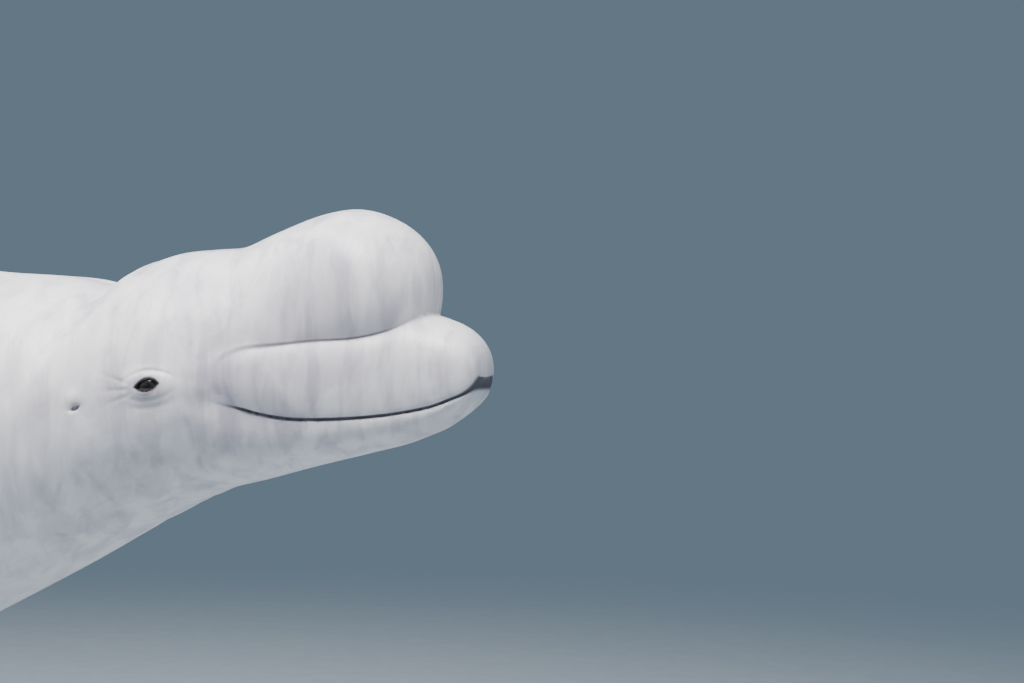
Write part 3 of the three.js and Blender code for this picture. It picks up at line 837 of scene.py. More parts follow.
class Kit:
    """Makes and changes Blender meshes."""

    @staticmethod
    def mesh(
        name: str, points: np.ndarray, faces: Sequence[Sequence[int]], smooth: bool = True
    ) -> bpy.types.Object:
        """A linked object at the origin from points in metres, with its faces out.

        Args:
            name: The piece's name.
            points: Rows of x, y and z.
            faces: Point numbers of each face.
            smooth: Whether it is shaded smooth.

        Returns:
            The new object.
        """
        data = bpy.data.meshes.new(name)
        data.from_pydata(points.tolist(), [], [list(map(int, face)) for face in faces])
        made = bmesh.new()
        made.from_mesh(data)
        bmesh.ops.recalc_face_normals(made, faces=made.faces)
        if made.calc_volume(signed=True) < 0:
            bmesh.ops.reverse_faces(made, faces=made.faces)
        made.to_mesh(data)
        made.free()
        data.validate()
        data.shade_smooth() if smooth else data.shade_flat()
        piece = bpy.data.objects.new(name, data)
        bpy.context.scene.collection.objects.link(piece)
        return piece

    @staticmethod
    def lofted(name: str, rings: Sequence[np.ndarray]) -> bpy.types.Object:
        """A closed tube through rings of equal count, each end closed to its middle.

        Args:
            name: The piece's name.
            rings: Rings of points, in metres.

        Returns:
            The new object.
        """
        count = len(rings[0])
        points = np.vstack([*rings, rings[0].mean(axis=0)[None], rings[-1].mean(axis=0)[None]])
        faces = []
        for i, j in itertools.product(range(len(rings) - 1), range(count)):
            a, b = i * count + j, i * count + (j + 1) % count
            faces.append((a, b, b + count, a + count))
        last = (len(rings) - 1) * count
        for j in range(count):
            faces.append((count * len(rings), (j + 1) % count, j))
            faces.append((count * len(rings) + 1, last + j, last + (j + 1) % count))
        return Kit.mesh(name, points, faces)

    @staticmethod
    def applied(piece: bpy.types.Object) -> None:
        """Turns a piece's modifiers into plain mesh.

        Args:
            piece: The object to change.
        """
        graph = bpy.context.evaluated_depsgraph_get()
        data = bpy.data.meshes.new_from_object(piece.evaluated_get(graph))
        piece.modifiers.clear()
        old, piece.data = piece.data, data
        bpy.data.meshes.remove(old)

    @staticmethod
    def joined(piece: bpy.types.Object, other: bpy.types.Object) -> None:
        """Adds another closed solid to a piece and removes the other.

        Args:
            piece: The object that stays.
            other: The object that is added to it.
        """
        join = piece.modifiers.new("join", "BOOLEAN")
        join.operation, join.object, join.solver = "UNION", other, "MANIFOLD"
        Kit.applied(piece)
        bpy.data.objects.remove(other)

    @staticmethod
    def points(piece: bpy.types.Object) -> np.ndarray:
        """A piece's points as rows of x, y and z.

        Args:
            piece: The object to read.

        Returns:
            The points, in metres.
        """
        flat = np.empty(len(piece.data.vertices) * 3)
        piece.data.vertices.foreach_get("co", flat)
        return flat.reshape(-1, 3)

    @staticmethod
    def set_points(piece: bpy.types.Object, points: np.ndarray) -> None:
        """Moves all of a piece's points."""
        piece.data.vertices.foreach_set("co", points.ravel())
        piece.data.update()

    @staticmethod
    def edges(piece: bpy.types.Object) -> np.ndarray:
        """The two point numbers of each edge.

        Args:
            piece: The object to read.

        Returns:
            Rows of two point numbers.
        """
        flat = np.empty(len(piece.data.edges) * 2, dtype=np.int64)
        piece.data.edges.foreach_get("vertices", flat)
        return flat.reshape(-1, 2)

    @staticmethod
    def attribute(piece: bpy.types.Object, name: str, values: np.ndarray) -> None:
        """Stores one number at each point."""
        layer = piece.data.attributes.new(name, "FLOAT", "POINT")
        layer.data.foreach_set("value", np.ascontiguousarray(values, dtype=np.float32))


def neighbour_mean(points: np.ndarray, edges: np.ndarray) -> np.ndarray:
    """The mean of each point's neighbours.

    Args:
        points: A row of numbers for each point.
        edges: Rows of two point numbers.

    Returns:
        The means, in the same shape as the points.
    """
    count = np.bincount(edges.ravel(), minlength=len(points)).astype(float)
    total = np.empty_like(points)
    for axis in range(points.shape[1]):
        total[:, axis] = np.bincount(edges[:, 0], points[edges[:, 1], axis], len(points))
        total[:, axis] += np.bincount(edges[:, 1], points[edges[:, 0], axis], len(points))
    return total / np.maximum(count, 1)[:, None]


class Value:
    """A shader socket that takes part in sums."""

    def __init__(self, tree: "Tree", socket: bpy.types.NodeSocket) -> None:
        """Takes a socket and the tree that it is in."""
        self.tree = tree
        self.socket = socket

    def __add__(self, other: "Value | float") -> "Value":
        """This value and another."""
        return self.tree.math("ADD", self, other)

    def __mul__(self, other: "Value | float") -> "Value":
        """This value times another."""
        return self.tree.math("MULTIPLY", self, other)

    def __rsub__(self, other: float) -> "Value":
        """A number less this value."""
        return self.tree.math("SUBTRACT", other, self)

    __radd__ = __add__


Input = Value | float | tuple


class Tree:
    """Builds the nodes of one material."""

    def __init__(self, name: str) -> None:
        """Starts an empty material.

        Args:
            name: The material's name.
        """
        self.material = bpy.data.materials.new(name)
        self.material.use_nodes = True
        self.tree = self.material.node_tree
        self.tree.nodes.clear()

    def node(
        self, kind: str, settings: dict | None = None, inputs: dict[str | int, Input] | None = None
    ) -> bpy.types.Node:
        """Adds a node.

        Args:
            kind: Its type.
            settings: Its properties.
            inputs: Its values and links, by the input's name or number.

        Returns:
            The new node.
        """
        made = self.tree.nodes.new(kind)
        for key, value in (settings or {}).items():
            setattr(made, key, value)
        for key, value in (inputs or {}).items():
            if isinstance(value, Value):
                self.tree.links.new(value.socket, made.inputs[key])
            else:
                made.inputs[key].default_value = value
        return made

    def value(
        self, kind: str, settings: dict | None = None, inputs: dict | None = None, out: str | int = 0
    ) -> Value:
        """Adds a node and gives one of its outputs."""
        return Value(self, self.node(kind, settings, inputs).outputs[out])

    def math(self, kind: str, *values: Input) -> Value:
        """A sum of numbers."""
        return self.value("ShaderNodeMath", {"operation": kind}, dict(enumerate(values)))

    def vector(self, kind: str, *values: Input, out: int = 0) -> Value:
        """A sum of vectors."""
        return self.value("ShaderNodeVectorMath", {"operation": kind}, dict(enumerate(values)), out)

    def position(self) -> Value:
        """The place on the object."""
        return self.value("ShaderNodeTexCoord", out="Object")

    def stored(self, name: str) -> Value:
        """A number stored at the mesh's points."""
        return self.value("ShaderNodeAttribute", {"attribute_name": name}, out="Fac")

    def noise(
        self, where: Value, scale: float, detail: float = 4.0, rough: float = 0.55, warp: float = 0.0
    ) -> Value:
        """Soft noise from about 0.3 to 0.7.

        Args:
            where: The place on the object.
            scale: How small its patches are.
            detail: How many finer layers it has.
            rough: How strong the finer layers are.
            warp: How far it is twisted.

        Returns:
            The noise.
        """
        return self.value(
            "ShaderNodeTexNoise", None,
            {"Vector": where, "Scale": scale, "Detail": detail, "Roughness": rough, "Distortion": warp})

    def span(self, value: Value, low: float, high: float, start: float = 0.0, end: float = 1.0) -> Value:
        """A value's range turned into another, held at its ends.

        Args:
            value: The value.
            low: Where its range starts.
            high: Where its range ends.
            start: The result at the start.
            end: The result at the end.

        Returns:
            The result.
        """
        return self.value(
            "ShaderNodeMapRange", {"interpolation_type": "SMOOTHSTEP"},
            {0: value, 1: low, 2: high, 3: start, 4: end})

    def stretched(self, where: Value, factors: tuple[float, float, float]) -> Value:
        """A place with each of its axes times a factor."""
        return self.vector("MULTIPLY", where, factors)

    def mix(self, share: Input, first: Input, second: Input) -> Value:
        """A colour between two others."""
        return self.value("ShaderNodeMix", {"data_type": "RGBA"}, {0: share, 6: first, 7: second}, 2)

    def bump(self, height: Value, distance: float, strength: float = 1.0, over: Value | None = None) -> Value:
        """A bumped normal.

        Args:
            height: The relief.
            distance: Its depth, in metres.
            strength: How much of it shows.
            over: A bumped normal that it is added to.

        Returns:
            The normal.
        """
        inputs = {"Height": height, "Distance": distance, "Strength": strength}
        if over:
            inputs["Normal"] = over
        return self.value("ShaderNodeBump", None, inputs)

    def finish(self, inputs: dict[str, Input]) -> bpy.types.Material:
        """Ends the material in one principled shader.

        Args:
            inputs: The shader's values and links, by the input's name.

        Returns:
            The finished material.
        """
        shader = self.node("ShaderNodeBsdfPrincipled", None, inputs)
        out = self.node("ShaderNodeOutputMaterial")
        self.tree.links.new(shader.outputs[0], out.inputs[0])
        return self.material


@dataclass(frozen=True)
class SkinFinish:
    """White skin with a faint lilac-grey cast, fine wrinkles and a damp shine."""

    white: tuple = (0.83, 0.815, 0.83, 1)
    lilac: tuple = (0.47, 0.435, 0.50, 1)
    # Grey for scars and the fluke rims, and for painted shade in the ear's pit and under the jaw.
    grey: tuple = (0.36, 0.35, 0.39, 1)
    # The colour of the painted shade in each crease of the head.
    crease: tuple = (0.30, 0.27, 0.31, 1)
    # A near-black for the painted shade along the lips, in the fold between melon and beak and on the lids.
    line: tuple = (0.07, 0.06, 0.075, 1)

    def mottling_and_painted_streaks(self, t: Tree, p: Value, dapple: Value) -> Value:
        """The white skin with its lilac mottling, vertical streaks of painted caustic light and shade, and
        pale scars.

        Args:
            t: The material's tree.
            p: The place on the object.
            dapple: The noise that the shine follows too.

        Returns:
            The colour.
        """
        head = t.stored("head")
        drift = t.noise(p, 3.2, 3, 0.5, 0.4)
        speck = t.noise(p, 120.0, 3, 0.6)
        # Vertical streaks of painted caustic light and shade, towards lilac, strongest on the head.
        painted_caustic_streaks = t.noise(t.stretched(p, (40.0, 26.0, 6.5)), 1.0, 2.5, 0.5, 0.5)
        streak = t.noise(t.stretched(p, (3.0, 60.0, 90.0)), 1.0, 2, 0.5, 1.2)
        tone = t.span(drift, 0.38, 0.66) * 0.22 + t.span(dapple, 0.42, 0.68) * (head * 0.26 + 0.22)
        tone = tone + t.span(speck, 0.5, 0.75) * 0.08
        tone = tone + t.span(painted_caustic_streaks, 0.44, 0.66) * 0.44 * (0.14 + head * 0.86)
        scar = t.span(streak, 0.70, 0.73) * (1 - head) * 0.25
        return t.mix(scar, t.mix(tone, self.white, self.lilac), self.grey)

    def greys_and_painted_shade(self, t: Tree, p: Value, colour: Value) -> Value:
        """The skin with its grey fluke rims and grey patches, partly painted shade, and painted shade in each
        crease, on its lids, along its lips and in the melon's fold.

        Args:
            t: The material's tree.
            p: The place on the object.
            colour: The mottled skin's colour.

        Returns:
            The colour.
        """
        smudge = t.noise(p, 46.0, 4, 0.6)
        colour = t.mix(t.stored("rim") * t.span(smudge, 0.30, 0.60) * 0.6, colour, self.grey)
        # Grey round the eye, with painted shade in the ear's pit and a grey patch under the jaw that is
        # partly painted shadow.
        colour = t.mix(t.stored("grey_and_painted_shade") * t.span(smudge, 0.26, 0.60), colour, self.grey)
        # Painted shade in each crease of the head.
        colour = t.mix(t.stored("crease"), colour, self.crease)
        # Painted shade: a dark line along the groove between the lips and along the fold between melon and
        # beak.
        seam = (1 - t.span(t.stored("mouth_off"), 0.9, 2.8)) * t.stored("mouth_shade_on")
        off_fold = t.math("ABSOLUTE", t.stored("fold_off"))
        fold = (1 - t.span(off_fold, 0.4, 3.0)) * t.stored("fold_shade_on") * 0.85
        # Painted shade on the lids round the eye's opening.
        lid = 1 - t.span(t.stored("lid_off"), 0.2, 4.6)
        colour = t.mix(t.math("MAXIMUM", seam, fold), colour, self.line)
        return t.mix(lid * 0.9, colour, self.line)

    def relief(self, t: Tree, p: Value) -> Value:
        """The skin's normal, with its ripples, wrinkles and pores.

        Args:
            t: The material's tree.
            p: The place on the object.

        Returns:
            The normal.
        """
        pores = t.noise(p, 420.0, 3, 0.6)
        wrinkle = t.noise(t.stretched(p, (95.0, 40.0, 22.0)), 1.0, 4, 0.6, 0.6)
        ripple = t.noise(t.stretched(p, (34.0, 16.0, 9.0)), 1.0, 3, 0.5, 0.8)
        normal = t.bump(ripple, 0.006, 0.4)
        normal = t.bump(wrinkle, 0.002, 0.35, normal)
        return t.bump(pores, 0.0003, 0.3, normal)

    def material(self) -> bpy.types.Material:
        """The skin's material.

        Returns:
            The new material.
        """
        t = Tree("whale_skin")
        p = t.position()
        dapple = t.noise(t.stretched(p, (1.0, 1.0, 0.5)), 14.0, 4, 0.55, 0.8)
        return t.finish({
            "Base Color": self.greys_and_painted_shade(t, p, self.mottling_and_painted_streaks(t, p, dapple)),
            "Roughness": t.span(dapple, 0.3, 0.7, 0.34, 0.46), "Normal": self.relief(t, p),
            "Subsurface Weight": 0.12, "Subsurface Radius": (0.8, 0.55, 0.5), "Subsurface Scale": 0.012,
            "Coat Weight": 0.12, "Coat Roughness": 0.22,
        })


@dataclass(frozen=True)
class EyeFinish:
    """A wet dark brown eye with an oval pupil and a paler ring at its edge."""

    pupil: tuple = (0.002, 0.002, 0.003, 1)
    iris: tuple = (0.012, 0.007, 0.005, 1)
    fleck: tuple = (0.034, 0.020, 0.014, 1)
    ring: tuple = (0.012, 0.008, 0.008, 1)
    white: tuple = (0.085, 0.07, 0.068, 1)

    def material(self) -> bpy.types.Material:
        """The eye's material, from the distances stored on its mesh.

        Returns:
            The new material.
        """
        t = Tree("whale_eye")
        off = t.stored("off_axis")
        flecks = t.noise(t.position(), 900.0, 3, 0.6)
        colour = t.mix(t.span(flecks, 0.35, 0.7), self.iris, self.fleck)
        colour = t.mix(t.span(off, 0.50, 0.60), colour, self.ring)
        colour = t.mix(t.span(off, 0.62, 0.72), colour, self.white)
        colour = t.mix(t.span(t.stored("pupil"), 0.95, 1.1), self.pupil, colour)
        return t.finish({"Base Color": colour, "Roughness": 0.12, "Coat Weight": 1.0, "Coat Roughness": 0.02})


@dataclass(frozen=True)
class SteelFinish:
    """Steel turned on a lathe, with fine rings and a few dull patches."""

    grain: tuple[float, float, float] = (8.0, 8.0, 900.0)
    dull: tuple = (0.42, 0.43, 0.45, 1)
    bright: tuple = (0.60, 0.61, 0.63, 1)

    def material(self) -> bpy.types.Material:
        """The brushed steel material.

        Returns:
            The new material.
        """
        t = Tree("stand_steel")
        p = t.position()
        lines = t.noise(t.stretched(p, self.grain), 1.0, 3, 0.6)
        patch = t.noise(p, 9.0, 4, 0.6)
        colour = t.mix(t.span(lines, 0.3, 0.7), self.dull, self.bright)
        rough = t.span(patch, 0.3, 0.7, 0.24, 0.40)
        return t.finish({
            "Base Color": colour, "Metallic": 1.0, "Roughness": rough, "Normal": t.bump(lines, 0.0003, 0.4)})


@dataclass(frozen=True)
class PaintFinish:
    """Satin dark paint with an orange-peel texture, worn a little at the edges."""

    paint: tuple = (0.030, 0.034, 0.040, 1)
    dust: tuple = (0.075, 0.08, 0.088, 1)
    worn: tuple = (0.20, 0.21, 0.23, 1)

    def material(self) -> bpy.types.Material:
        """The plinth's material.

        Returns:
            The new material.
        """
        t = Tree("stand_paint")
        p = t.position()
        peel = t.noise(p, 350.0, 3, 0.5)
        dust = t.noise(p, 5.0, 5, 0.65)
        edge = t.stored("edge") * t.span(t.noise(p, 70.0, 4, 0.7), 0.45, 0.62)
        colour = t.mix(t.span(dust, 0.35, 0.75) * 0.5, self.paint, self.dust)
        colour = t.mix(edge * 0.25, colour, self.worn)
        rough = t.span(dust, 0.3, 0.7, 0.38, 0.55)
        return t.finish({"Base Color": colour, "Roughness": rough, "Normal": t.bump(peel, 0.0003, 0.5)})


@dataclass(frozen=True)
class RubberFinish:
    """Matt dark rubber."""

    dark: tuple = (0.018, 0.018, 0.019, 1)
    light: tuple = (0.035, 0.035, 0.037, 1)

    def material(self) -> bpy.types.Material:
        """The material of the pads under the belly.

        Returns:
            The new material.
        """
        t = Tree("stand_rubber")
        grain = t.noise(t.position(), 500.0, 3, 0.6)
        colour = t.mix(t.span(grain, 0.3, 0.7), self.dark, self.light)
        return t.finish({"Base Color": colour, "Roughness": 0.62, "Normal": t.bump(grain, 0.0003, 0.6)})


@dataclass
class SkinPiece:
    """The one skin over all the nodes of flesh, held inside a box of two corners in metres."""

    box: tuple
    flesh: Flesh = field(default_factory=Flesh)
    fine: float = 4.86
    coarse: float = 20.0
    fillet: float = 60.0
    eye_zone: float = 34.0
    ear_zone: float = 12.0
    blowhole_zone: float = 32.0
    lip_zone: float = 6.5
    fold_zone: float = 6.0
    # How much wider than the zones each round of refining reaches, the widest first.
    zone_growth: tuple = (1.6, 1.0)
    ease_rounds: int = 6
    blend_rounds: int = 36
    flipper_points: int = 20
    fluke_points: int = 22

    def body(self) -> bpy.types.Object:
        """The body without its paddles.

        Returns:
            The mesh object.
        """
        lattice = Lattice(self.flesh, self.fine, self.coarse)
        index, faces = surface_net(lattice.values())
        points = lattice.points(index)
        reach = lattice.cell(points[:, 0]) * 0.5
        front = points[:, 0] < FACE_END
        points[front] = settle(points[front], self.flesh.detail, reach[front], 4)
        points[~front] = settle(points[~front], self.flesh.depth, reach[~front], 3)
        points[:, 0] *= -1
        return Kit.mesh("whale_skin", Place.metres(points), faces)

    def zones(self, s: np.ndarray, y: np.ndarray, z: np.ndarray, grow: float) -> np.ndarray:
        """Where the skin needs a finer mesh: the eyes, the ears, the blowhole and the lips.

        Args:
            s: Stations.
            y: Offsets from the midline.
            z: Heights over the datum.
            grow: How much wider than usual the zones are.

        Returns:
            True where the mesh has to be finer.
        """
        a, b, _ = self.flesh.eye.local(s, y, z)
        eye = np.hypot(a + 4, b) < self.eye_zone * grow
        a, b, _ = self.flesh.ear.local(s, y, z)
        ear = np.hypot(a, b - 3) < self.ear_zone * grow
        top = self.flesh.trunk.top(s)
        blowhole = (np.hypot(s - 428, y * 0.8) < self.blowhole_zone * grow) & (z > top - 34)
        lips = (self.flesh.beak.off_seam(s, z) < self.lip_zone * grow) & (s < 296)
        between = self.flesh.trunk.depth(s, y, z) - self.flesh.beak.depth(s, y, z)
        fold = np.abs(between) < self.fold_zone * grow
        fold &= (s > 60) & (s < 285) & (grow > 1.2)
        return (eye | ear | blowhole | lips | fold) & (s < 500)

    def refine(self, skin: bpy.types.Object) -> None:
        """Divides the mesh where the face has its detail and settles it again.

        Args:
            skin: The body without its paddles.
        """
        for grow in self.zone_growth:
            s, y, z = Place.millimetres(Kit.points(skin)).T
            inside = self.zones(s, y, z, grow)
            work = bmesh.new()
            work.from_mesh(skin.data)
            work.verts.ensure_lookup_table()
            edges = [e for e in work.edges if inside[e.verts[0].index] and inside[e.verts[1].index]]
            bmesh.ops.subdivide_edges(work, edges=edges, cuts=1, use_grid_fill=True)
            bmesh.ops.triangulate(work, faces=[f for f in work.faces if len(f.verts) > 4])
            work.to_mesh(skin.data)
            work.free()
            points = Place.millimetres(Kit.points(skin))
            edges_now = Kit.edges(skin)
            near = self.zones(*points.T, grow * 1.15)
            for _ in range(2):
                points[near] = points[near] + 0.4 * (neighbour_mean(points, edges_now)[near] - points[near])
            points[near] = settle(points[near], self.flesh.detail, np.full(int(near.sum()), 1.2), 5)
            points[:, 0] *= -1
            Kit.set_points(skin, Place.metres(points))
        self.ease(skin)
        log.info("refined skin has %d points", len(skin.data.vertices))

    def ease(self, skin: bpy.types.Object) -> None:
        """Evens out the mesh at the two blunt tips of the head and inside the groove between the lips.

        Args:
            skin: The refined body.
        """
        points, edges = Kit.points(skin), Kit.edges(skin)
        s, y, z = Place.millimetres(points).T
        trunk, beak = self.flesh.trunk, self.flesh.beak
        weight = 1 - smooth_step(beak.off_seam(s, z), 3.5, 8.0)
        weight = weight * (1 - smooth_step(s, 270, 300)) * 0.6
        for station, height in ((trunk.front, trunk.front_height), (0.0, beak.tip_height)):
            away = np.sqrt((s - station) ** 2 + y**2 + (z - height) ** 2)
            weight = np.maximum(weight, 1 - smooth_step(away, 6.0, 14.0))
        for _ in range(self.ease_rounds):
            points = points + weight[:, None] * 0.5 * (neighbour_mean(points, edges) - points)
        Kit.set_points(skin, points)

    def paddles(self) -> list[bpy.types.Object]:
        """The flippers and the flukes as closed solids.

        Returns:
            The right flipper, the left flipper and the flukes.
        """
        parts = (
            ("flipper_r", Flipper(Side.RIGHT), self.flipper_points),
            ("flipper_l", Flipper(Side.LEFT), self.flipper_points),
            ("flukes", Flukes(), self.fluke_points),
        )
        made = []
        for name, part, per_side in parts:
            rings = [Place.metres(section.ring(per_side)) for section in part.sections()]
            made.append(Kit.lofted(name, rings))
        return made

    def blend_roots(self, skin: bpy.types.Object) -> None:
        """Softens the joined skin where a paddle leaves the body.

        Args:
            skin: The body joined to its paddles.
        """
        points = Kit.points(skin)
        edges = Kit.edges(skin)
        s, y, z = Place.millimetres(points).T
        depth = self.flesh.depth(s, y, z)
        outer = depth > 2.0
        seam = np.zeros(len(points), dtype=bool)
        mixed = outer[edges[:, 0]] != outer[edges[:, 1]]
        seam[edges[mixed].ravel()] = True
        tree = kdtree.KDTree(int(seam.sum()))
        for number, co in enumerate(points[seam]):
            tree.insert(co, number)
        tree.balance()
        near = np.where((s > 600) & (np.abs(depth) < self.fillet + 30))[0]
        weight = np.zeros(len(points))
        for number in near:
            weight[number] = 1 - tree.find(points[number])[2] / (self.fillet * MM)
        weight = smooth_step(weight, 0.0, 0.8)[:, None]
        for _ in range(self.blend_rounds):
            points = points + weight * 0.5 * (neighbour_mean(points, edges) - points)
        Kit.set_points(skin, points)

    @staticmethod
    def rim(s: np.ndarray, y: np.ndarray) -> np.ndarray:
        """How near a point is to the flukes' trailing edge, from 0 to 1.

        Args:
            s: Stations.
            y: Offsets from the midline.

        Returns:
            One number for each point.
        """
        across = np.abs(y)
        edge = Flukes().trailing(across)
        return smooth_step(s, edge - 45, edge - 4) * (s > 3900) * smooth_step(across, 10, 60)

    def painted_crease_shade(self, skin: bpy.types.Object, points: np.ndarray, s: np.ndarray) -> np.ndarray:
        """How sharply the skin of the head folds inwards at each point, from 0 to 1, as the mask of the
        painted shade in each crease.

        Args:
            skin: The finished mesh.
            points: Its points, in metres.
            s: Their stations.

        Returns:
            One number for each point.
        """
        edges = Kit.edges(skin)
        normals = np.empty(len(points) * 3)
        skin.data.vertices.foreach_get("normal", normals)
        length = np.linalg.norm(points[edges[:, 0]] - points[edges[:, 1]], axis=1)
        spacing = np.bincount(edges.ravel(), np.repeat(length, 2), len(points)) / np.bincount(edges.ravel())
        inward = neighbour_mean(points, edges) - points
        hollow = np.einsum("ij,ij->i", inward, normals.reshape(-1, 3)) / spacing**2
        sharp = smooth_step(hollow, 25.0, 130.0)[:, None]
        for _ in range(4):
            sharp = 0.5 * sharp + 0.5 * neighbour_mean(sharp, edges)
        return sharp[:, 0] * (s < FACE_END) * 0.75

    def shade(self, s: np.ndarray, y: np.ndarray, z: np.ndarray) -> np.ndarray:
        """How grey the skin is round the eye, with painted shade in the ear's pit and a partly painted shadow
        behind the jaw, from 0 to 1.

        Args:
            s: Stations.
            y: Offsets from the midline.
            z: Heights over the datum.

        Returns:
            One number for each point.
        """
        a, b, _ = self.flesh.eye.local(s, y, z)
        shade = 0.8 * ridge(np.hypot(a + 2, b * 1.2), 17.0)
        shade = shade + 0.5 * ridge(np.hypot((a + 24) / 1.7, b + 8), 32.0)
        a, b, _ = self.flesh.ear.local(s, y, z)
        # Painted shade in the ear's pit, with a little grey round it.
        shade = shade + 0.6 * ridge(np.hypot(a, b), 4.5) + 0.25 * ridge(np.hypot(a, b), 20.0)
        # A grey patch low behind the jaw, partly painted shadow.
        shade = shade + 0.36 * ridge(np.hypot((s - 385) / 1.5, z + 138), 46.0)
        return np.clip(shade, 0, 1) * (1 - smooth_step(s, 430, FACE_END))

    def store(self, skin: bpy.types.Object) -> None:
        """Stores what the material needs at each point.

        Args:
            skin: The finished mesh.
        """
        points = Kit.points(skin)
        s, y, z = Place.millimetres(points).T
        beak, trunk = self.flesh.beak, self.flesh.trunk
        lips = ridge(z - beak.mouth_line(s), 7.0) * (s < 320)
        # Distance from the line between the lips, and where its painted shade shows.
        seam = np.where(s < beak.corner + 25, beak.off_seam(s, z), 50.0) / (1 + 0.5 * ridge(s, 14.0))
        mouth = 1 - smooth_step(s, beak.corner - 46, beak.corner - 12)
        between = trunk.depth(s, y, z) - beak.depth(s, y, z)
        # Where the painted shade of the fold between melon and beak shows.
        fold = smooth_step(s, 62, 110) * (1 - smooth_step(s, 225, 300)) * (z > -60)
        a, b, _ = self.flesh.eye.local(s, y, z)
        # Distance from the opening between the lids, for the painted shade on them.
        lid = np.where(np.hypot(a, b) < 60, np.clip(self.flesh.fissure(a, b), -9, 30), 30.0)
        # Most of these layers place painted shade: in each crease, along the lips, in the melon's fold, on
        # the lids, in the ear and under the jaw.
        layers = {
            "crease": self.painted_crease_shade(skin, points, s) * (1 - lips), "rim": self.rim(s, y),
            "mouth_off": np.minimum(seam, 50), "mouth_shade_on": mouth, "fold_off": np.clip(between, -40, 40),
            "fold_shade_on": fold, "lid_off": lid, "grey_and_painted_shade": self.shade(s, y, z),
            "head": 1 - smooth_step(s, 420, 700),
        }
        for name, values in layers.items():
            Kit.attribute(skin, name, values)

    def build(self) -> bpy.types.Object:
        """Makes the skin, finished and riding on the model.

        Returns:
            The finished piece.
        """
        skin = self.body()
        log.info("body net has %d points", len(skin.data.vertices))
        self.refine(skin)
        for paddle in self.paddles():
            Kit.joined(skin, paddle)
        self.blend_roots(skin)
        low, high = (np.array(corner) for corner in self.box)
        Kit.set_points(skin, np.clip(Kit.points(skin), low, high))
        self.store(skin)
        skin.data.shade_smooth()
        skin.data.materials.clear()
        skin.data.materials.append(SkinFinish().material())
        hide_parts(*FLESH)
        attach(skin, "root")
        log.info("skin has %d points and %d faces", len(skin.data.vertices), len(skin.data.polygons))
        return skin


@dataclass
class EyePiece:
    """One eyeball, with an oval pupil."""

    side: Side
    flesh: Flesh = field(default_factory=Flesh)
    slack: float = 0.3
    pupil_length: float = 0.30
    pupil_height: float = 0.19
    rings: int = 40
    around: int = 64

    def globe(self) -> tuple[np.ndarray, list[float], list[float]]:
        """The globe's points, with what the material needs at each.

        Returns:
            The points in millimetres, their distances from the eye's axis and those from the oval pupil.
        """
        point, forward, up, out = (axis * [-1, self.side.value, 1] for axis in self.flesh.eye.frame())
        radius = self.radius()
        centre = point + out * (self.flesh.eye_proud - self.flesh.eye_radius)
        rows, off, pupil = [centre + out * radius], [0.0], [0.0]
        for i, j in itertools.product(range(1, self.rings), range(self.around)):
            polar, turn = math.pi * i / self.rings, 2 * math.pi * j / self.around
            a, b = math.sin(polar) * math.cos(turn), math.sin(polar) * math.sin(turn)
            rows.append(centre + radius * (a * forward + b * up + math.cos(polar) * out))
            behind = 2.0 if polar > math.pi / 2 else 0.0
            off.append(math.hypot(a, b) + behind)
            pupil.append(math.hypot(a / self.pupil_length, b / self.pupil_height) + behind)
        rows.append(centre - out * radius)
        return np.array(rows), off + [3.0], pupil + [3.0]

    def radius(self) -> float:
        """The eyeball's radius, a little less than that of its hollow."""
        return self.flesh.eye_radius - self.slack

    def faces(self, last: int) -> list[tuple[int, ...]]:
        """The globe's faces.

        Args:
            last: The number of its rearmost point.

        Returns:
            The point numbers of each face.
        """
        around = self.around
        made = [(0, 1 + j, 1 + (j + 1) % around) for j in range(around)]
        for i, j in itertools.product(range(self.rings - 2), range(around)):
            a, b = 1 + i * around + j, 1 + i * around + (j + 1) % around
            made.append((a, a + around, b + around, b))
        rear = 1 + (self.rings - 2) * around
        return made + [(last, rear + (j + 1) % around, rear + j) for j in range(around)]

    def build(self) -> bpy.types.Object:
        """Makes the eye, finished and riding on the model.

        Returns:
            The finished piece.
        """
        rows, off, pupil = self.globe()
        name = f"eyeball_{self.side.name.lower()}"
        eye = Kit.mesh(name, Place.metres(rows), self.faces(len(rows) - 1))
        Kit.attribute(eye, "off_axis", np.array(off))
        Kit.attribute(eye, "pupil", np.array(pupil))
        eye.data.materials.append(EyeFinish().material())
        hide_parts(f"eye_{self.side.name.lower()}")
        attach(eye, "root")
        log.info("%s is %.1f mm across", name, 2 * self.radius())
        return eye


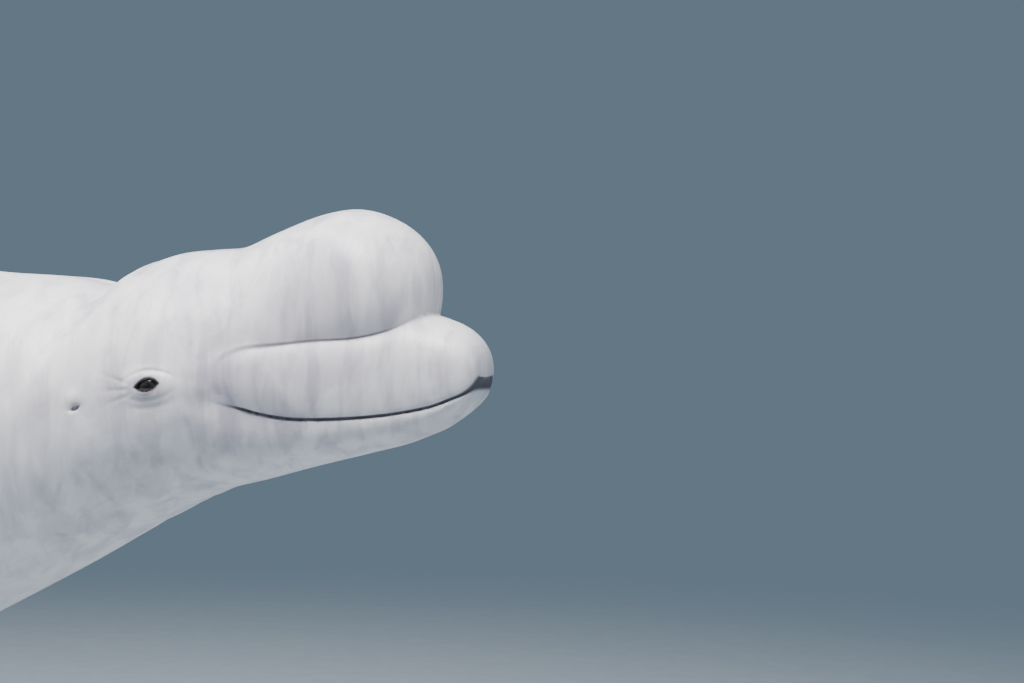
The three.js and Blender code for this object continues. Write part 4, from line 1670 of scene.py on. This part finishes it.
@dataclass
class Rod:
    """A turned rod with its flange and the rubber pad that meets the belly."""

    name: str
    station: float
    flesh: Flesh = field(default_factory=Flesh)
    radius: float = 38.0
    flange_radius: float = 105.0
    flange_thick: float = 18.0
    flare: float = 22.0
    foot: float = 40.3
    around: int = 72
    flare_steps: int = 8
    # The pad's outline: each ring's radius and its distance below the belly.
    pad: tuple = (
        (38.2, 36), (42, 36), (44, 34), (44, 22), (46, 14), (52, 7), (56, 4), (57, 1.5), (56, 0.3),
        (38.2, 0.3),
    )

    def belly(self, x: np.ndarray, y: np.ndarray) -> np.ndarray:
        """Height of the belly's skin over the floor.

        Args:
            x: Offsets ahead of the rod's middle.
            y: Offsets from the midline.

        Returns:
            The heights, in millimetres.
        """
        low, high = np.full(x.shape, -700.0), np.full(x.shape, -300.0)
        for _ in range(26):
            middle = (low + high) / 2
            inside = self.flesh.depth(self.station - x, y, middle) < 0
            high, low = np.where(inside, middle, high), np.where(inside, low, middle)
        return low + DATUM

    def profile(self) -> list[tuple[float, float]]:
        """Radius and height of the turned outline below the rod's top.

        Returns:
            Pairs of a radius and a height over the floor.
        """
        r, base, thick = self.radius, self.foot, self.flange_thick
        lines = [(self.flange_radius - 1.5, base), (self.flange_radius, base + 1.5)]
        lines += [(self.flange_radius, base + thick - 4), (self.flange_radius - 1.3, base + thick - 1.3)]
        lines += [(self.flange_radius - 4, base + thick), (r + self.flare + 1, base + thick)]
        for i in range(self.flare_steps + 1):
            angle = math.pi / 2 * i / self.flare_steps
            rise = self.flare * 1.4 * (1 - math.cos(angle))
            lines.append((r + self.flare * (1 - math.sin(angle)), base + thick + rise))
        return lines

    def ring(self, radius: float, heights: np.ndarray | float) -> np.ndarray:
        """A ring of points round the rod.

        Args:
            radius: Its radius.
            heights: Heights over the floor, of each point or of all.

        Returns:
            The points, in metres.
        """
        turn = 2 * np.pi * np.arange(self.around) / self.around
        x = Place.nose / MM - self.station + radius * np.cos(turn)
        return np.column_stack([x, radius * np.sin(turn), np.broadcast_to(heights, turn.shape)]) * MM

    def top(self, radius: float, drop: float) -> np.ndarray:
        """Heights of a ring that follows the belly at a distance below it."""
        turn = 2 * np.pi * np.arange(self.around) / self.around
        return self.belly(radius * np.cos(turn), radius * np.sin(turn)) - drop

    def build(self, steel: bpy.types.Material, rubber: bpy.types.Material) -> None:
        """Makes the rod and its pad.

        Args:
            steel: The rod's material.
            rubber: The pad's material.
        """
        rings = [self.ring(r, z) for r, z in self.profile()]
        rings += [self.ring(self.radius, self.top(self.radius, drop)) for drop in (60.0, 1.0)]
        rod = Kit.lofted(f"rod_{self.name}", rings)
        rod.data.set_sharp_from_angle(angle=math.radians(32))
        rod.data.materials.append(steel)
        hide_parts(f"stand_rod_{self.name}")
        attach(rod, "root")
        pad = Kit.lofted(f"pad_{self.name}", [self.ring(r, self.top(r, drop)) for r, drop in self.pad])
        pad.data.materials.append(rubber)
        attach(pad, "root")
        log.info("rod %s is %.0f mm tall", self.name, float(self.top(self.radius, 0).max()) - self.foot)


class NodeGroup:
    """A group of geometry nodes with named inputs."""

    def __init__(self, name: str, inputs: dict[str, str]) -> None:
        """Starts the group.

        Args:
            name: Its name.
            inputs: The type of each named input.
        """
        self.tree = bpy.data.node_groups.new(name, "GeometryNodeTree")
        face = self.tree.interface
        face.new_socket("Geometry", in_out="OUTPUT", socket_type="NodeSocketGeometry")
        for label, kind in inputs.items():
            face.new_socket(label, in_out="INPUT", socket_type=f"NodeSocket{kind}")
        self.inputs = self.tree.nodes.new("NodeGroupInput").outputs

    def add(self, kind: str, settings: dict | None = None, **inputs: object) -> bpy.types.Node:
        """Adds a node.

        Args:
            kind: Its type.
            settings: Its properties.
            **inputs: Its values and links, by the input's name.

        Returns:
            The new node.
        """
        made = self.tree.nodes.new(kind)
        for key, value in (settings or {}).items():
            setattr(made, key, value)
        for key, value in inputs.items():
            socket = made.inputs[key.replace("_", " ")]
            if isinstance(value, bpy.types.NodeSocket):
                self.tree.links.new(value, socket)
            else:
                socket.default_value = value
        return made

    def scaled(self, socket: bpy.types.NodeSocket, factor: float) -> bpy.types.NodeSocket:
        """A socket's number times a factor.

        Args:
            socket: The number.
            factor: The factor.

        Returns:
            The product.
        """
        made = self.add("ShaderNodeMath", {"operation": "MULTIPLY"})
        self.tree.links.new(socket, made.inputs[0])
        made.inputs[1].default_value = factor
        return made.outputs[0]


@dataclass(frozen=True)
class Bolts:
    """The bolts of one flange, set out by geometry nodes."""

    name: str
    station: float
    circle: float = 82.0
    count: int = 4
    head: float = 13.0
    height: float = 12.0
    seat: float = 58.6
    seed: int = 7

    def bolt(self, group: NodeGroup) -> bpy.types.NodeSocket:
        """One bolt's hexagon head with its crown, on a washer.

        Args:
            group: The group that the bolt is built in.

        Returns:
            The bolt's mesh.
        """
        head, height = group.inputs["Head Radius"], group.inputs["Head Height"]
        cone, washer = "GeometryNodeMeshCone", "GeometryNodeMeshCylinder"
        parts = (
            (cone, 0.2, {
                "Vertices": 6, "Radius_Top": group.scaled(head, 0.86),
                "Radius_Bottom": group.scaled(head, 0.9), "Depth": group.scaled(height, 0.78)}),
            (cone, 0.82, {
                "Vertices": 24, "Radius_Top": group.scaled(head, 0.52),
                "Radius_Bottom": group.scaled(head, 0.8), "Depth": group.scaled(height, 0.16)}),
            (washer, 0.1, {"Vertices": 32, "Radius": head, "Depth": group.scaled(height, 0.2)}),
        )
        join = group.add("GeometryNodeJoinGeometry")
        for kind, lift, sizes in parts:
            up = group.add("ShaderNodeCombineXYZ", Z=group.scaled(height, lift))
            part = group.add(kind, **sizes)
            moved = group.add("GeometryNodeTransform", Geometry=part.outputs[0], Translation=up.outputs[0])
            group.tree.links.new(moved.outputs[0], join.inputs[0])
        return join.outputs[0]

    def group(self) -> bpy.types.GeometryNodeTree:
        """The node group that sets bolts on a circle.

        Returns:
            The new group.
        """
        group = NodeGroup("bolt_circle", {
            "Circle Radius": "Float", "Head Radius": "Float", "Head Height": "Float", "Count": "Int",
            "Place": "Vector", "Finish": "Material",
        })
        bolt = self.bolt(group)
        ring = group.add(
            "GeometryNodeMeshCircle", Vertices=group.inputs["Count"], Radius=group.inputs["Circle Radius"])
        turned = group.add(
            "GeometryNodeTransform", Geometry=ring.outputs[0], Translation=group.inputs["Place"],
            Rotation=(0.0, 0.0, math.pi / 4))
        spin = group.add("FunctionNodeRandomValue", {"data_type": "FLOAT_VECTOR"}, Seed=self.seed)
        spin.inputs[0].default_value, spin.inputs[1].default_value = (0, 0, 0), (0, 0, math.pi / 3)
        set_out = group.add(
            "GeometryNodeInstanceOnPoints", Points=turned.outputs[0], Instance=bolt, Rotation=spin.outputs[0])
        real = group.add("GeometryNodeRealizeInstances", Geometry=set_out.outputs[0])
        dressed = group.add(
            "GeometryNodeSetMaterial", Geometry=real.outputs[0], Material=group.inputs["Finish"])
        out = group.add("NodeGroupOutput")
        group.tree.links.new(dressed.outputs[0], out.inputs[0])
        return group.tree

    def build(self, steel: bpy.types.Material) -> None:
        """Makes the flange's bolts.

        Args:
            steel: The bolts' material.
        """
        data = bpy.data.meshes.new(f"bolts_{self.name}")
        piece = bpy.data.objects.new(f"bolts_{self.name}", data)
        bpy.context.scene.collection.objects.link(piece)
        nodes = piece.modifiers.new("bolts", "NODES")
        nodes.node_group = self.group()
        values = {
            "Circle Radius": self.circle * MM, "Head Radius": self.head * MM, "Head Height": self.height * MM,
            "Count": self.count, "Place": (Place.nose - self.station * MM, 0.0, self.seat * MM),
            "Finish": steel,
        }
        for item in nodes.node_group.interface.items_tree:
            if item.in_out == "INPUT":
                nodes[item.identifier] = values[item.name]
        Kit.applied(piece)
        piece.data.shade_flat()
        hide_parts(*(f"stand_bolt_{self.name}_{i}" for i in range(1, self.count + 1)))
        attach(piece, "root")
        log.info("bolts %s: %d faces", self.name, len(piece.data.polygons))


@dataclass(frozen=True)
class BasePlate:
    """The flat base with rounded corners and rolled edges."""

    station: float = 1810.0
    length: float = 1900.0
    width: float = 760.0
    thick: float = 40.0
    corner: float = 60.0
    corner_steps: int = 16
    roll: float = 6.0
    roll_steps: int = 6

    def ring(self, inset: float, height: float) -> np.ndarray:
        """The outline drawn in by an inset, at a height.

        Args:
            inset: How far it is drawn in.
            height: Its height over the floor.

        Returns:
            The points, in metres.
        """
        rows = []
        radius = self.corner - inset
        x, y = self.length / 2 - self.corner, self.width / 2 - self.corner
        for cx, cy, start in ((x, -y, -90), (x, y, 0), (-x, y, 90), (-x, -y, 180)):
            for i in range(self.corner_steps + 1):
                angle = math.radians(start + 90 * i / self.corner_steps)
                rows.append((cx + radius * math.cos(angle), cy + radius * math.sin(angle), height))
        made = np.array(rows) * MM
        made[:, 0] += Place.nose - self.station * MM
        return made

    def build(self, paint: bpy.types.Material) -> None:
        """Makes the base plate.

        Args:
            paint: The plate's material.
        """
        steps = [(0.0, 0.0), (0.0, self.thick * 0.5)]
        for i in range(self.roll_steps + 1):
            angle = math.pi / 2 * i / self.roll_steps
            steps.append((self.roll * (1 - math.cos(angle)), self.thick - self.roll * (1 - math.sin(angle))))
        steps.append((self.roll + 14, self.thick))
        base = Kit.lofted("base_plate", [self.ring(*step) for step in steps])
        heights = Kit.points(base)[:, 2] / MM
        near = smooth_step(heights, self.thick - 7, self.thick - 2)
        Kit.attribute(base, "edge", near * (1 - smooth_step(heights, self.thick - 0.6, self.thick)))
        base.data.set_sharp_from_angle(angle=math.radians(50))
        base.data.materials.append(paint)
        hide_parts("stand_base")
        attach(base, "root")
        log.info("base is %.0f by %.0f mm", self.length, self.width)


@dataclass(frozen=True)
class Studio:
    """A pale floor that fades into an even background, soft lights and the photograph's camera."""

    tone: tuple = (0.125, 0.18, 0.235, 1)
    azimuth: float = 16.0
    distance: float = 2.290
    lens: float = 70.0
    ahead: float = 0.0306
    sensor: float = 36.0
    reach: float = 60.0
    around: int = 96
    fade: tuple = (2.4, 6.6)
    pale: tuple = ((0.37, 0.41, 0.45, 1), (0.40, 0.44, 0.48, 1))
    # Each light: its name, its place and its aim from the snout's tip over the floor, its size, its power
    # and its colour.
    lights: tuple = (
        ("key", (-0.1, -1.3, 3.4), (-0.35, 0, 0.95), (2.0, 1.4), 225, (1.0, 0.985, 0.97)),
        ("overhead", (-2.2, 0.2, 4.6), (-2.2, 0, 0.6), (5.0, 2.2), 210, (0.97, 0.985, 1.0)),
        ("side", (-2.4, -6.0, 2.6), (-2.2, 0, 0.8), (5.0, 2.0), 10, (0.97, 0.98, 1.0)),
        ("front", (3.2, 1.8, 2.0), (-0.4, 0, 0.9), (1.6, 1.6), 30, (0.93, 0.97, 1.0)),
    )

    def floor(self) -> None:
        """Makes the floor."""
        turn = 2 * np.pi * np.arange(self.around) / self.around
        points = np.column_stack([self.reach * np.cos(turn), self.reach * np.sin(turn), 0 * turn])
        plane = Kit.mesh("floor", points, [range(len(points))], smooth=False)
        t = Tree("floor")
        p = t.position()
        away = t.vector("LENGTH", p, out=1)
        fleck = t.noise(p, 14.0, 5, 0.6)
        colour = t.mix(t.span(fleck, 0.35, 0.7), *self.pale)
        shader = t.node("ShaderNodeBsdfPrincipled", None, {"Base Color": colour, "Roughness": 0.6})
        far = t.node("ShaderNodeEmission", None, {"Color": self.tone, "Strength": 1.0})
        both = t.node("ShaderNodeMixShader", None, {0: t.span(away, *self.fade)})
        t.tree.links.new(shader.outputs[0], both.inputs[1])
        t.tree.links.new(far.outputs[0], both.inputs[2])
        out = t.node("ShaderNodeOutputMaterial")
        t.tree.links.new(both.outputs[0], out.inputs[0])
        plane.data.materials.append(t.material)
        plane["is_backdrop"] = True

    def light(self, name: str, place: tuple, aim: tuple, size: tuple, power: float, colour: tuple) -> None:
        """Adds one soft light, aimed at a point.

        Args:
            name: The light's name.
            place: Its place from the snout's tip, over the floor.
            aim: The point that it shines at.
            size: Its width and height.
            power: Its power, in watts.
            colour: Its colour.
        """
        data = bpy.data.lights.new(name, "AREA")
        data.shape, data.size, data.size_y = "RECTANGLE", size[0], size[1]
        data.energy, data.color = power, colour
        lamp = bpy.data.objects.new(name, data)
        bpy.context.scene.collection.objects.link(lamp)
        lamp.location = Vector(place) + Vector((Place.nose, 0, 0))
        lamp.rotation_euler = (Vector(aim) - Vector(place)).to_track_quat("-Z", "Y").to_euler()

    def camera(self) -> None:
        """Sets the camera as it was for the photograph."""
        data = bpy.data.cameras.new("camera")
        data.lens, data.sensor_width = self.lens, self.sensor
        camera = bpy.data.objects.new("camera", data)
        bpy.context.scene.collection.objects.link(camera)
        a = math.radians(self.azimuth)
        aim = Vector((Place.nose + self.ahead, 0, DATUM * MM))
        camera.location = aim + self.distance * Vector((math.sin(a), -math.cos(a), 0))
        camera.rotation_euler = (aim - camera.location).to_track_quat("-Z", "Y").to_euler()
        data.clip_end = 200
        bpy.context.scene.camera = camera

    def build(self) -> None:
        """Makes the floor, the background, the lights and the camera."""
        self.floor()
        world = bpy.data.worlds.new("studio")
        world.use_nodes = True
        back = world.node_tree.nodes["Background"]
        back.inputs["Color"].default_value = self.tone
        back.inputs["Strength"].default_value = 1.0
        bpy.context.scene.world = world
        for light in self.lights:
            self.light(*light)
        self.camera()
        log.info("camera at %.2f m, %.0f degrees", self.distance, self.azimuth)


def main() -> None:
    """Builds and dresses the whole model."""
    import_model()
    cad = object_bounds()
    Place.nose = float(cad[1][0])
    Studio().build()
    SkinPiece(cad).build()
    for side in Side:
        EyePiece(side).build()
    steel, rubber = SteelFinish().material(), RubberFinish().material()
    BasePlate().build(PaintFinish().material())
    for name, station in ROD_STATIONS.items():
        Rod(name, station).build(steel, rubber)
        Bolts(name, station).build(steel)


if __name__ == "__main__":
    main()
